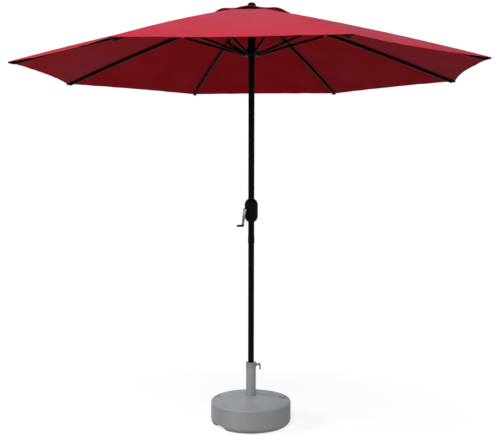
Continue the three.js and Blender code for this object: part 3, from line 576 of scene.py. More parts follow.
# Runs a tree on a piece with its sizes given by name, and keeps the mesh that it makes.
def runTree(piece, tree, angle=None, **sizes):
    modifier = piece.modifiers.new("tree", "NODES")
    modifier.node_group = tree
    for socket in tree.interface.items_tree:
        label = socket.name[0].lower() + socket.name[1:].replace(" ", "")
        if socket.item_type == "SOCKET" and socket.in_out == "INPUT" and label in sizes:
            modifier[socket.identifier] = sizes[label]
    return settle(piece, angle)


# Sewn stitches along edges: thread capsules that stand out on both sides of the cloth.
def stitchTree():
    tree, given = newTree("stitches",
                          {"Pitch": "Float", "Length": "Float", "Width": "Float", "Height": "Float"})
    curve = addNode(tree, "GeometryNodeMeshToCurve", {}, {0: given["Geometry"]})
    spaced = addNode(tree, "GeometryNodeResampleCurve", {"mode": "LENGTH"},
                     {"Curve": curve.outputs[0], "Length": given["Pitch"]})
    tangent = addNode(tree, "GeometryNodeInputTangent").outputs[0]
    along = addNode(tree, "FunctionNodeAlignRotationToVector", {"axis": "X"}, {"Vector": tangent})
    level = addNode(tree, "FunctionNodeAlignRotationToVector", {"axis": "Z", "pivot_axis": "X"},
                    {"Rotation": along.outputs[0], "Vector": (0, 0, 1)})
    capsule = addNode(tree, "GeometryNodeMeshIcoSphere", {}, {"Radius": 0.5, "Subdivisions": 1})
    size = addNode(tree, "ShaderNodeCombineXYZ", {},
                   {0: given["Length"], 1: given["Width"], 2: given["Height"]})
    placed = addNode(tree, "GeometryNodeInstanceOnPoints", {},
                     {"Points": spaced.outputs[0], "Instance": capsule.outputs[0],
                      "Rotation": level.outputs[0], "Scale": size.outputs[0]})
    return endTree(tree, placed.outputs[0], thread)


# Domed rivet heads at points, facing each point's `facing` attribute.
def rivetTree():
    tree, given = newTree("rivets", {"Radius": "Float", "Rise": "Float"})
    facing = addNode(tree, "GeometryNodeInputNamedAttribute", {"data_type": "FLOAT_VECTOR"},
                     {"Name": "facing"})
    turn = addNode(tree, "FunctionNodeAlignRotationToVector", {"axis": "Z"}, {"Vector": facing.outputs[0]})
    dome = addNode(tree, "GeometryNodeMeshUVSphere", {}, {"Segments": 20, "Rings": 10, "Radius": 1.0})
    size = addNode(tree, "ShaderNodeCombineXYZ", {},
                   {0: given["Radius"], 1: given["Radius"], 2: given["Rise"]})
    placed = addNode(tree, "GeometryNodeInstanceOnPoints", {},
                     {"Points": given["Geometry"], "Instance": dome.outputs[0],
                      "Rotation": turn.outputs[0], "Scale": size.outputs[0]})
    return endTree(tree, placed.outputs[0], zinc)


# Pan-head screws with a cross recess, at points facing each point's `facing` attribute.
def screwTree():
    tree, given = newTree("screws", {"Radius": "Float", "Rise": "Float"})
    facing = addNode(tree, "GeometryNodeInputNamedAttribute", {"data_type": "FLOAT_VECTOR"},
                     {"Name": "facing"})
    turn = addNode(tree, "FunctionNodeAlignRotationToVector", {"axis": "Z"}, {"Vector": facing.outputs[0]})
    head = addNode(tree, "GeometryNodeMeshUVSphere", {}, {"Segments": 24, "Rings": 12, "Radius": 1.0})
    slots = []
    for size in ((1.1, 0.22, 0.6), (0.22, 1.1, 0.6)):
        slot = addNode(tree, "GeometryNodeMeshCube", {}, {"Size": size})
        slots.append(addNode(tree, "GeometryNodeTransform", {},
                             {"Geometry": slot.outputs[0], "Translation": (0, 0, 0.9)}).outputs[0])
    both = addNode(tree, "GeometryNodeMeshBoolean", {"operation": "UNION"}, {1: slots[0]})
    tree.links.new(slots[1], both.inputs[1])
    cut = addNode(tree, "GeometryNodeMeshBoolean", {"operation": "DIFFERENCE"},
                  {0: head.outputs[0], 1: both.outputs[0]})
    size = addNode(tree, "ShaderNodeCombineXYZ", {},
                   {0: given["Radius"], 1: given["Radius"], 2: given["Rise"]})
    placed = addNode(tree, "GeometryNodeInstanceOnPoints", {},
                     {"Points": given["Geometry"], "Instance": cut.outputs[0],
                      "Rotation": turn.outputs[0], "Scale": size.outputs[0]})
    return endTree(tree, placed.outputs[0], zinc)


# A channel with the section that it is given, swept along a bowed line in X and Z. The section's points
# lie in X (sideways) and Y (above the line).
def channelTree():
    tree, given = newTree("channel", {"Start": "Float", "End": "Float", "Reach": "Float", "Bow": "Float",
                                      "Steps": "Int"})
    first = addNode(tree, "ShaderNodeCombineXYZ", {}, {0: given["Start"]})
    last = addNode(tree, "ShaderNodeCombineXYZ", {}, {0: given["End"]})
    line = addNode(tree, "GeometryNodeCurvePrimitiveLine", {}, {0: first.outputs[0], 1: last.outputs[0]})
    steps = addNode(tree, "GeometryNodeResampleCurve", {"mode": "COUNT"},
                    {"Curve": line.outputs[0], "Count": given["Steps"]})
    place = addNode(tree, "GeometryNodeInputPosition").outputs[0]
    x = addNode(tree, "ShaderNodeSeparateXYZ", {}, {0: place}).outputs[0]
    share = addNode(tree, "ShaderNodeMath", {"operation": "DIVIDE"}, {0: x, 1: given["Reach"]}).outputs[0]
    left = addNode(tree, "ShaderNodeMath", {"operation": "SUBTRACT"}, {0: 1.0, 1: share}).outputs[0]
    both = addNode(tree, "ShaderNodeMath", {"operation": "MULTIPLY"}, {0: share, 1: left}).outputs[0]
    four = addNode(tree, "ShaderNodeMath", {"operation": "MULTIPLY"}, {0: both, 1: 4.0}).outputs[0]
    rise = addNode(tree, "ShaderNodeMath", {"operation": "MULTIPLY"}, {0: four, 1: given["Bow"]}).outputs[0]
    offset = addNode(tree, "ShaderNodeCombineXYZ", {}, {2: rise})
    bent = addNode(tree, "GeometryNodeSetPosition", {}, {0: steps.outputs[0], "Offset": offset.outputs[0]})
    upright = addNode(tree, "GeometryNodeSetCurveNormal", {"mode": "Z_UP"}, {0: bent.outputs[0]})
    section = addNode(tree, "GeometryNodeMeshToCurve", {}, {0: given["Geometry"]})
    swept = addNode(tree, "GeometryNodeCurveToMesh", {},
                    {"Curve": upright.outputs[0], "Profile Curve": section.outputs[0], "Fill Caps": True})
    return endTree(tree, swept.outputs[0], coat)


stitches = stitchTree()
rivets = rivetTree()
screws = screwTree()
channels = channelTree()


# A wire object: each path is a list of points joined in order.
def wireObject(name, paths, loop=False):
    points, edges = [], []
    for path in paths:
        start = len(points)
        points += [tuple(p) for p in path]
        edges += [(start + i, start + i + 1) for i in range(len(path) - 1)]
        if loop:
            edges.append((len(points) - 1, start))
    mesh = bpy.data.meshes.new(name)
    mesh.from_pydata(points, edges, [])
    return linkObject(name, mesh)


def pointObject(name, places, facings):
    mesh = bpy.data.meshes.new(name)
    mesh.from_pydata([tuple(p) for p in places], [], [])
    facing = mesh.attributes.new("facing", "FLOAT_VECTOR", "POINT")
    facing.data.foreach_set("vector", [c for f in facings for c in f])
    return linkObject(name, mesh)


print("node trees built")


# base

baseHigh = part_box("base_shell")[1]
base = {
    "radius": baseHigh.x,
    "domeTop": baseHigh.z,
    "footRadius": 0.197,
    "footRise": 0.035,
    "recessRadius": 0.130,
    "recessDepth": 0.008,
    "recessBevel": 0.010,
    "sideTop": 0.130,
    "rimRadius": 0.012,
    "rimArc": 75,
    "domePower": 1.6,
    "wellRadius": 0.0294,
    "wellFloor": 0.014,
    "lip": 0.003,
    "steps": 192,
}
notch = {"azimuth": 218, "width": 0.124, "height": 0.026, "depth": 0.060, "corner": 0.022, "lip": 0.004}
reliefs = [
    {"azimuth": 175, "offset": 0.188, "radius": 0.021, "width": 0.005, "rise": 0.0022},
]
plug = {"azimuth": 42.5, "offset": 0.156, "radius": 0.007, "rise": 0.0016}


def polar(azimuth, offset, height=0.0):
    turn = math.radians(azimuth)
    return Vector((offset * math.cos(turn), offset * math.sin(turn), height))


def domeEdge():
    arc = math.radians(base["rimArc"])
    centre = base["radius"] - base["rimRadius"]
    return centre + base["rimRadius"] * math.cos(arc), base["sideTop"] + base["rimRadius"] * math.sin(arc)


def domeHeight(radius):
    edge, height = domeEdge()
    share = max(0.0, (radius - base["wellRadius"]) / (edge - base["wellRadius"]))
    return base["domeTop"] - (base["domeTop"] - height) * share ** base["domePower"]


# The base's section from the middle of the recess, round the foot and the dome, to the well's floor.
def baseProfile():
    spread = base["radius"] - base["footRadius"]
    recess = base["recessRadius"]
    profile = [(0, base["recessDepth"]), (recess - 0.02, base["recessDepth"])]
    profile += [(recess, base["recessDepth"]), (recess + base["recessBevel"], 0)]
    profile += [(recess + base["recessBevel"] + 0.02, 0)]
    for step in range(25):
        turn = math.radians(90 * step / 24)
        profile.append((base["footRadius"] + spread * math.sin(turn),
                        base["footRise"] * (1 - math.cos(turn))))
    profile += [(base["radius"], z) for z in np.linspace(base["footRise"], base["sideTop"], 14)[1:]]
    centre = base["radius"] - base["rimRadius"]
    for step in range(1, 9):
        turn = math.radians(base["rimArc"] * step / 8)
        profile.append((centre + base["rimRadius"] * math.cos(turn),
                        base["sideTop"] + base["rimRadius"] * math.sin(turn)))
    edge = domeEdge()[0]
    lip = base["wellRadius"] + base["lip"]
    profile += [(r, domeHeight(r)) for r in np.linspace(edge, lip, 40)[1:]]
    for step in range(1, 6):
        turn = math.radians(90 * step / 5)
        profile.append((lip - base["lip"] * math.sin(turn),
                        domeHeight(lip) - base["lip"] * (1 - math.cos(turn))))
    return profile + [(base["wellRadius"], base["wellFloor"]), (0, base["wellFloor"])]


# The hand notch's cutter: an arch that flares at its mouth, to leave a rounded lip, and ends in a flat wall.
def notchCutter():
    half, top, corner, lip = notch["width"] / 2, notch["height"], notch["corner"], notch["lip"]
    arch = [((half, -0.006), (1, 0)), ((half, 0.001), (1, 0))]
    for step in range(17):
        turn = math.pi / 2 * step / 16
        way = (math.cos(turn), math.sin(turn))
        arch.append(((half - corner + corner * way[0], top - corner + corner * way[1]), way))
    arch += [((-s, z), (-a, b)) for (s, z), (a, b) in reversed(arch)]
    rings = [(None, 1.4 * lip), (-0.1 * lip, 1.25 * lip)]
    for turn in np.radians(np.arange(60, -1, -12)):
        rings.append((lip * (1 - math.sin(turn)), lip * (1 - math.cos(turn))))
    for turn in np.radians((0, 30, 60, 90)):
        rings.append((notch["depth"] - lip * (1 - math.sin(turn)), -lip * (1 - math.cos(turn))))
    points, faces = [], []
    for depth, grow in rings:
        for (s, z), (a, b) in arch:
            s, z = s + a * grow, z + b * grow
            near = min(1.0, max(0.0, z) / base["footRise"])
            foot = (base["radius"] - base["footRadius"]) * math.sin(math.acos(1 - near))
            outer = math.sqrt((base["footRadius"] + foot) ** 2 - s * s)
            if depth is None:
                outer = base["radius"] + 0.02
            elif depth > lip:
                outer = base["radius"] - depth
            else:
                outer -= depth
            points.append((outer, s, z))
    count = len(arch)
    for ring in range(len(rings) - 1):
        here, there = ring * count, (ring + 1) * count
        faces += [[here + i, there + i, there + (i + 1) % count,
                   here + (i + 1) % count] for i in range(count)]
    faces += [list(range(count)), list(range(len(points) - count, len(points)))]
    turn = Matrix.Rotation(math.radians(notch["azimuth"]), 4, "Z")
    return makePiece("notch", points, faces, hdpe, turn)


def makeBaseShell():
    shell = lathe("baseShell", baseProfile(), hdpe, base["steps"])
    cutFrom(shell, notchCutter())
    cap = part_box("filler_cap")
    middle = (cap[0] + cap[1]) / 2
    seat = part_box("filler_gasket")[0].z - 0.0003
    boss = roundCorners([(0, seat - 0.016), (0.0235, seat - 0.016), (0.0235, seat, 0.0012), (0, seat)],
                        closed=False)
    hole = [(0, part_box("water_fill")[1].z - 0.002), (0.0150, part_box("water_fill")[1].z - 0.002),
            (0.0150, seat - 0.0015), (0.0165, seat + 0.001), (0, seat + 0.001)]
    at = Matrix.Translation((middle.x, middle.y, 0))
    floor = seat - 0.0002
    clear = [(0, floor), (0.0262, floor), (0.0262, base["domeTop"]), (0, base["domeTop"])]
    addTo(shell, lathe("boss", boss, hdpe, 64, matrix=at))
    cutFrom(shell, lathe("clear", clear, hdpe, 64, matrix=at), lathe("hole", hole, hdpe, 64, matrix=at))
    rings = []
    for relief in reliefs:
        spot = polar(relief["azimuth"], relief["offset"])
        top = domeHeight(relief["offset"]) + relief["rise"]
        inner, outer = relief["radius"] - relief["width"], relief["radius"]
        corners = [(inner, top - 0.02), (outer, top - 0.02), (outer, top, 0.0018), (inner, top, 0.0018)]
        slope = Matrix.Rotation(0.09, 4, "Y")
        around = Matrix.Rotation(math.radians(relief["azimuth"]), 4, "Z")
        place = Matrix.Translation(spot) @ around @ Matrix.Translation((0, 0, top)) @ slope
        rings.append(lathe("ring", roundCorners(corners), hdpe, 64, closedProfile=True,
                           matrix=place @ Matrix.Translation((0, 0, -top))))
    spot = polar(plug["azimuth"], plug["offset"])
    top = domeHeight(plug["offset"]) + plug["rise"]
    button = roundCorners([(0, top - 0.01), (plug["radius"], top - 0.01), (plug["radius"], top, 0.0012),
                           (0, top)],
                          closed=False)
    moat = roundCorners([(plug["radius"] + 0.0004, top - 0.004), (plug["radius"] + 0.0018, top - 0.004),
                         (plug["radius"] + 0.0018, top + 0.01), (plug["radius"] + 0.0004, top + 0.01)])
    addTo(shell, *rings, lathe("vent", button, hdpe, 48, matrix=Matrix.Translation(spot)))
    cutFrom(shell, lathe("moat", moat, hdpe, 48, closedProfile=True, matrix=Matrix.Translation(spot)),
            angle=28)
    return finishPiece(shell, "grey_hdpe", "base", "base_shell")


filler = {"radius": 0.020, "thickness": 0.005, "grips": 28, "gripDepth": 0.0005,
          "bar": (0.030, 0.0055, 0.0045)}


# Screw cap with a milled rim and a bar to turn it by.
def makeFillerCap():
    low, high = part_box("filler_cap")
    middle = (low + high) / 2
    under = high.z - filler["thickness"]
    at = Matrix.Translation((middle.x, middle.y, 0)) @ Matrix.Rotation(math.radians(35), 4, "Z")
    neck = 0.0144
    corners = [(0, low.z), (neck, low.z, 0.001), (neck, under), (filler["radius"], under, 0.0006),
               (filler["radius"], high.z - 0.0008, 0.0012), (0.0165, high.z - 0.0008, 0.0006),
               (0.0155, high.z - 0.0022, 0.0006), (0, high.z - 0.0022)]

    def mill(azimuth, radius, height):
        rim = radius > 0.0192 and height > under
        if not rim:
            return 1
        return 1 - filler["gripDepth"] / radius * (0.5 + 0.5 * math.cos(filler["grips"] * azimuth))

    cap = lathe("fillerCap", roundCorners(corners, closed=False, steps=4), hdpe, 224, matrix=at, swell=mill)
    long, wide, tall = filler["bar"]
    handle = slab("handle", (-long / 2, -wide / 2, high.z - 0.004),
                  (long / 2, wide / 2, high.z - 0.004 + tall - 0.0005),
                  hdpe, at)
    soften(handle, 0.0012, 3)
    addTo(cap, handle)
    return finishPiece(cap, "grey_hdpe", "filler", "filler_cap")


def makeGasket():
    low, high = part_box("filler_gasket")
    middle = (low + high) / 2
    ring = sleeve("fillerGasket", 0.0147, (high.x - low.x) / 2, low.z, high.z, rubber, 0.0005, 64)
    moved(ring, Matrix.Translation((middle.x, middle.y, 0)))
    return finishPiece(ring, "rubber_seal", "filler_seal", "filler_gasket")


post = {"wall": 0.0015}
collar = {
    "bore": 0.0178,
    "overPost": 0.0293,
    "ledge": 0.0003,
    "bossRadius": 0.008,
    "bossReach": 0.036,
}
clampHeight = joints["clamp_turn"]["pos_m"][2]


def makePost():
    low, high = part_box("base_post")
    tube = sleeve("basePost", high.y - post["wall"], high.y, low.z, high.z, enamel, 0.0005, 128)
    return finishPiece(tube, "grey_painted_steel", "base", "base_post")


# Moulded collar over the post, with a shallow waist between two beads and a boss for the clamp screw.
def makeCollar():
    low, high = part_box("post_collar")
    radius = high.y
    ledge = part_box("base_post")[1].z + collar["ledge"]
    corners = [(collar["overPost"], low.z, 0.0004), (radius, low.z, 0.0012), (radius, low.z + 0.005, 0.0008),
               (radius - 0.0012, low.z + 0.0065, 0.0008), (radius - 0.0012, high.z - 0.0075, 0.0008),
               (radius, high.z - 0.006, 0.0008), (radius, high.z, 0.0022),
               (collar["bore"] + 0.0008, high.z, 0.001),
               (collar["bore"], high.z - 0.002), (collar["bore"], ledge, 0.0003),
               (collar["overPost"], ledge)]
    ring = lathe("postCollar", roundCorners(corners), injected, 128, closedProfile=True)
    boss = bar("boss", collar["bossRadius"], (collar["overPost"] - 0.001, 0, clampHeight),
               (collar["bossReach"], 0, clampHeight), injected, 48, 0.001)
    rib = slab("rib", (radius - 0.003, -0.0016, low.z + 0.002),
               (collar["bossReach"] - 0.002, 0.0016, clampHeight), injected)
    addTo(ring, boss, soften(rib, 0.0006))
    cutFrom(ring,
            bar("hole", 0.0044, (0.010, 0, clampHeight), (collar["bossReach"] + 0.01, 0, clampHeight),
                injected, 32))
    return finishPiece(ring, "grey_hdpe", "base", "post_collar")


clamp = {"screw": 0.004, "hub": 0.007, "hubStart": 0.038, "pitch": 0.0015, "thickness": 0.009}


# Clamp screw: a threaded shank, a hub and a lever that hooks downwards.
def makeClamp():
    low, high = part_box("clamp_screw")
    shank = []
    for step in range(int((clamp["hubStart"] - low.x) / clamp["pitch"] * 2)):
        shank.append((clamp["screw"] - (0.0005 if step % 2 else 0), step * clamp["pitch"] / 2))
    end = clamp["hubStart"] - low.x + 0.003
    profile = [(0, 0), *shank, (clamp["screw"], end), (0, end)]
    alongX = Matrix.Translation((low.x, 0, 0)) @ Matrix.Rotation(math.pi / 2, 4, "Y")
    screw = lathe("screw", profile, injected, 48, matrix=alongX)
    hub = bar("hub", clamp["hub"], (clamp["hubStart"], 0, 0), (high.x - 0.0052, 0, 0), injected, 47, 0.0015)
    drop, rise = low.z - clampHeight, high.z - clampHeight
    outline = [(high.x - 0.0125, -0.007), (high.x - 0.0125, rise, 0.004), (high.x - 0.0045, rise, 0.006),
               (high.x, -0.007, 0.012), (high.x, drop, 0.0044), (high.x - 0.0088, drop, 0.0044),
               (high.x - 0.0088, -0.012, 0.006)]
    lever = soften(prism("lever", roundCorners(outline, steps=8), clamp["thickness"], injected), 0.0016)
    piece = moved(addTo(hub, lever, screw), Matrix.Translation((0, 0, clampHeight)))
    piece.name = "clampScrew"
    return finishPiece(piece, "grey_hdpe", "clamp", "clamp_screw")


makeBaseShell()
makeFillerCap()
makeGasket()
makePost()
makeCollar()
makeClamp()
print("base, post, collar and clamp screw made")


# pole

pole = {
    "lowerWall": 0.0013, "upperWall": 0.0012, "swage": 0.006, "lip": 0.004, "gap": 0.0003,
    "window": 0.0042, "slotWidth": 0.0064, "crankHole": 0.0044,
}
spring = {"strip": 0.0008, "width": 0.009}
sleeveLow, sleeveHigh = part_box("joint_sleeve")
buttonHeight = (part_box("snap_button")[0].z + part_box("snap_button")[1].z) / 2
buttonSide = math.copysign(1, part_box("snap_button")[1].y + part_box("snap_button")[0].y)
crankAxis = Vector(joints["crank_turn"]["axis"])
crankHeight = joints["crank_turn"]["pos_m"][2]
pulleyPlace = Vector(joints["pulley_spin"]["pos_m"])


def buttonCutter():
    return bar("window", pole["window"], (0, 0, buttonHeight),
               (0, 0.03 * buttonSide, buttonHeight), coat, 32)


def makeLowerPole():
    low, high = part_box("lower_pole")
    radius = high.x
    spigot = 0.0162
    joint = sleeveLow.z
    corners = [(radius - pole["lowerWall"], low.z), (radius, low.z, 0.0004),
               (radius, joint - pole["swage"], 0.002),
               (spigot, joint, 0.002), (spigot, high.z, 0.0004), (spigot - pole["lowerWall"], high.z),
               (spigot - pole["lowerWall"], joint), (radius - pole["lowerWall"], joint - pole["swage"])]
    tube = lathe("lowerPole", roundCorners(corners), coat, 128, closedProfile=True)
    cutFrom(tube, buttonCutter())
    return finishPiece(tube, "black_powder_coat", "mast", "lower_pole")


def makeUpperPole():
    low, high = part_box("upper_pole")
    radius = high.x
    tube = sleeve("upperPole", radius - pole["upperWall"], radius, low.z, high.z, coat, 0.0003, 128)
    hole = bar("hole", pole["crankHole"], crankAxis * -0.03 + Vector((0, 0, crankHeight)),
               crankAxis * 0.03 + Vector((0, 0, crankHeight)), coat, 32)
    turn = Matrix.Rotation(math.atan2(pulleyPlace.y, pulleyPlace.x), 4, "Z")
    offset = math.hypot(pulleyPlace.x, pulleyPlace.y)
    reach = 0.0138
    slot = slab("slot", (offset, -pole["slotWidth"] / 2, pulleyPlace.z - reach),
                (0.03, pole["slotWidth"] / 2, pulleyPlace.z + reach), coat, turn)
    pin = bar("pin", 0.0023, turn @ Vector((offset, -0.03, pulleyPlace.z)),
              turn @ Vector((offset, 0.03, pulleyPlace.z)),
              coat, 24)
    cutFrom(tube, buttonCutter(), hole, slot, pin)
    return finishPiece(tube, "black_powder_coat", "mast", "upper_pole")


# Swaged steel sleeve over the joint, with a rolled bead at each end.
def makeSleeve():
    radius = sleeveHigh.x
    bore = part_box("upper_pole")[1].x + pole["gap"]
    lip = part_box("lower_pole")[1].x + pole["gap"]
    lipTop = sleeveLow.z + pole["lip"] - pole["gap"]
    corners = [(lip, sleeveLow.z, 0.0003), (radius, sleeveLow.z, 0.0007),
               (radius, sleeveLow.z + 0.003, 0.0004),
               (radius - 0.0003, sleeveLow.z + 0.0035, 0.0004),
               (radius - 0.0003, sleeveHigh.z - 0.0035, 0.0004),
               (radius, sleeveHigh.z - 0.003, 0.0004), (radius, sleeveHigh.z, 0.0007),
               (bore, sleeveHigh.z, 0.0003),
               (bore, lipTop), (lip, lipTop)]
    tube = lathe("jointSleeve", roundCorners(corners), coat, 128, closedProfile=True)
    cutFrom(tube, buttonCutter())
    return finishPiece(tube, "black_powder_coat", "mast", "joint_sleeve")


def makeButton():
    low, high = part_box("snap_button")
    back, tip = sorted((abs(low.y), abs(high.y)))
    corners = [(0, back), (0.006, back, 0.0003), (0.006, back + 0.0015, 0.0003), (0.0039, back + 0.0015),
               (0.0039, tip, 0.0018), (0, tip)]
    turn = Matrix.Translation((0, 0, buttonHeight)) @ Matrix.Rotation(-buttonSide * math.pi / 2, 4, "X")
    button = lathe("snapButton", roundCorners(corners, closed=False), zinc, 48, matrix=turn)
    return finishPiece(button, "plated_steel", "button", "snap_button")


# The button's leaf spring, a strip bent to a U: the leg behind the button gives as the button is pressed.
def makeButtonSpring():
    low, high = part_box("button_spring")
    strip, width = spring["strip"], spring["width"]
    near, far = sorted((low.y * buttonSide, high.y * buttonSide), reverse=True)
    middle, reach = (near + far) / 2, (near - far) / 2
    bend = high.z - reach
    turns = np.linspace(0, math.pi, 17)
    outside = [(middle + reach * math.cos(a), bend + reach * math.sin(a)) for a in turns]
    inside = [(middle + (reach - strip) * math.cos(a),
               bend + (reach - strip) * math.sin(a)) for a in turns[::-1]]
    outline = [(near, low.z)] + outside + [(far, low.z),
                                           (far + strip, low.z)] + inside + [(near - strip, low.z)]
    turn = Matrix.Rotation(buttonSide * math.pi / 2, 4, "Z")
    leaf = prism("buttonSpring", outline, width, zinc, turn)
    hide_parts("button_spring")
    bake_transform(leaf)


makeLowerPole()
makeUpperPole()
makeSleeve()
makeButton()
makeButtonSpring()
print("pole, sleeve and snap button made")


# crank housing and crank

housingLow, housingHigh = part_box("housing_front")
housing = {
    "radius": 0.03875,
    "neck": 0.020,
    "shoulder": 0.030,
    "wall": 0.0025,
    "bore": 0.0181,
    "parting": 0.0003,
    "bushHole": 0.0083,
    "screwAcross": 0.026,
    "screwRadius": 0.0036,
    "recess": 0.0006,
}
crankTurn = Matrix.Translation((0, 0, crankHeight)) @ Matrix.Rotation(math.atan2(crankAxis.y, crankAxis.x),
                                                                      4, "Z")


# The housing's profile: two shells, one inset by the wall, with ends that taper between
# an ellipse and a cone.
def housingShell(name):
    low, high = housingLow.z, housingHigh.z
    middle = (low + high) / 2

    def shoulder(inset, start, sign):
        steps = []
        for step in range(15):
            turn = math.pi / 2 * step / 14
            across = (housing["radius"] - housing["neck"] - inset) * math.cos(turn) ** (4 / 3)
            along = (housing["shoulder"] - inset) * math.sin(turn) ** (4 / 3)
            steps.append((housing["neck"] + across, start - sign * (housing["shoulder"] - along)))
        return steps

    recess, radius, wall = housing["recess"], housing["radius"], housing["wall"]
    outside = shoulder(0, low, -1)[::-1]
    outside += [(radius, middle - 0.0012), (radius - recess, middle - 0.0008),
                (radius - recess, middle + 0.0008),
                (radius, middle + 0.0012)]
    outside += shoulder(0, high, 1)
    inside = shoulder(wall, high, 1)[::-1] + shoulder(wall, low, -1)
    profile = [(housing["bore"], low), *outside, (housing["bore"], high), (housing["bore"], high - wall),
               *inside, (housing["bore"], low + wall)]
    return lathe(name, profile, abs_, 160, closedProfile=True)


# One half of the housing, on the given side of the parting plane, with screw bosses sunk into the rear half.
def makeHousing(name, node, side):
    shell = housingShell(name)
    reach = 0.06
    near, far = sorted((side * -reach, side * housing["parting"] / 2))
    away = slab("away", (near, -reach, -0.09), (far, reach, 0.09), abs_, crankTurn)
    cutters = [away]
    if side > 0:
        start, end = crankTurn @ Vector((0, 0, 0)), crankTurn @ Vector((reach, 0, 0))
        cutters.append(bar("bore", housing["bushHole"], start, end, abs_, 64))
    cutFrom(shell, *cutters)
    places, facings = [], []
    if side < 0:
        outward = crankTurn.to_3x3() @ Vector((-1, 0, 0))
        wells = []
        for height in (housingLow.z + 0.024, housingHigh.z - 0.024):
            for across in (-housing["screwAcross"], housing["screwAcross"]):
                depth = -math.sqrt((housing["radius"] - 0.0045) ** 2 - across ** 2)
                spot = crankTurn @ Vector((depth, across, height - crankHeight))
                wells.append(bar("well", 0.0046, spot, spot + outward * 0.03, abs_, 40))
                places.append(spot + outward * 0.0004)
                facings.append(outward)
        cutFrom(shell, *wells)
    soften(shell, 0.0003, 1)
    finishPiece(shell, "black_plastic", "mast", node)
    if places:
        heads = runTree(pointObject("housingScrews", places, facings), screws, 40,
                        radius=housing["screwRadius"], rise=0.0016)
        finishPiece(heads, "plated_steel", "mast")


crank = {
    "bush": 0.008, "bushFlange": 0.0115, "bushFlangeThickness": 0.0022,
    "armThickness": 0.006, "armBoss": 0.011, "armEnd": 0.0075, "armBossLength": 0.015, "armLean": 0.012,
    "gripRadius": 0.007, "gripRings": 4,
    "rivet": 0.003, "rivetHead": 0.0055, "rivetRise": 0.0022, "rivetCap": 0.006,
    "screwHead": 0.007, "screwRise": 0.0025, "spool": 0.009, "spoolFlange": 0.0125, "spoolLength": 0.020,
}


# How far along the crank's axis a node starts and ends, and how low it hangs.
def alongCrank(node):
    points = [crankAxis.dot(v.co) for v in frame["nodes"][node].data.vertices]
    return min(points), max(points)


def makeBush():
    start, end = alongCrank("crank_bush")
    flange = end - crank["bushFlangeThickness"]
    corners = [(0.0044, start), (crank["bush"], start), (crank["bush"], flange),
               (crank["bushFlange"], flange),
               (crank["bushFlange"], end, 0.0009), (0.0044, end, 0.0004)]
    alongX = crankTurn @ Matrix.Rotation(math.pi / 2, 4, "Y")
    ring = lathe("crankBush", roundCorners(corners), abs_, 96, closedProfile=True, matrix=alongX)
    return finishPiece(ring, "black_plastic", "mast", "crank_bush")


gripDrop = crankHeight - joints["grip_spin"]["pos_m"][2]
armBossStart = alongCrank("crank_bush")[1] + 0.0004
armSlope = crank["armLean"] / gripDrop
armStart = armBossStart + crank["armBossLength"] - crank["armThickness"] - crank["armBoss"] * armSlope


# Stamped arm: a tapered strip that leans outwards, with rolled edges and a boss on the shaft.
def makeArm():
    outline = []
    for step in range(25):
        turn = math.pi * step / 24
        outline.append((crank["armBoss"] * math.cos(turn), crank["armBoss"] * math.sin(turn)))
    for step in range(25):
        turn = math.pi * (1 + step / 24)
        outline.append((crank["armEnd"] * math.cos(turn), -gripDrop + crank["armEnd"] * math.sin(turn)))
    blade = prism("crankArm", outline, crank["armThickness"], zinc)
    soften(blade, 0.0012, 3)
    flat = Matrix.Rotation(math.pi / 2, 4, "Z")
    moved(blade, Matrix.Translation((armStart + crank["armThickness"] / 2, 0, 0)) @ flat)
    for vertex in blade.data.vertices:
        vertex.co.x -= vertex.co.z * armSlope
    armFace = armBossStart + crank["armBossLength"]
    boss = bar("boss", crank["armBoss"] - 0.0008, (armBossStart, 0, 0), (armFace, 0, 0), zinc, 64, 0.0012)
    addTo(blade, boss)
    cutFrom(blade, bar("bore", 0.0043, (armBossStart - 0.01, 0, 0), (armFace + 0.01, 0, 0), zinc, 32),
            bar("rivetBore", 0.0033, (armStart, 0, -gripDrop), (armFace + 0.02, 0, -gripDrop), zinc, 32))
    moved(blade, crankTurn)
    return finishPiece(blade, "plated_steel", "crank", "crank_arm")


# Shaft with the cord's spool inside the pole, and the cross-recessed screw that holds the arm.
def makeShaft():
    start, end = alongCrank("spool_shaft")
    head = end - crank["screwRise"]
    half = crank["spoolLength"] / 2
    corners = [(0, start), (0.004, start, 0.0005), (0.004, -half), (crank["spoolFlange"], -half, 0.0005),
               (crank["spoolFlange"], 0.002 - half, 0.0005), (crank["spool"], 0.002 - half),
               (crank["spool"], half - 0.002), (crank["spoolFlange"], half - 0.002, 0.0005),
               (crank["spoolFlange"], half, 0.0005), (0.004, half), (0.004, head),
               (crank["screwHead"], head, 0.0003),
               (crank["screwHead"], end, 0.0018), (0, end)]
    shaft = lathe("spoolShaft", roundCorners(corners, closed=False), zinc, 64,
                  matrix=Matrix.Rotation(math.pi / 2, 4, "Y"))
    cutFrom(shaft, slab("recess", (end - 0.0014, -0.0035, -0.0007), (end + 0.002, 0.0035, 0.0007), zinc),
            slab("recess", (end - 0.0014, -0.0007, -0.0035), (end + 0.002, 0.0007, 0.0035), zinc))
    moved(shaft, crankTurn)
    return finishPiece(shaft, "plated_steel", "crank", "spool_shaft")


def atGrip():
    return crankTurn @ Matrix.Translation((0, 0, -gripDrop)) @ Matrix.Rotation(math.pi / 2, 4, "Y")


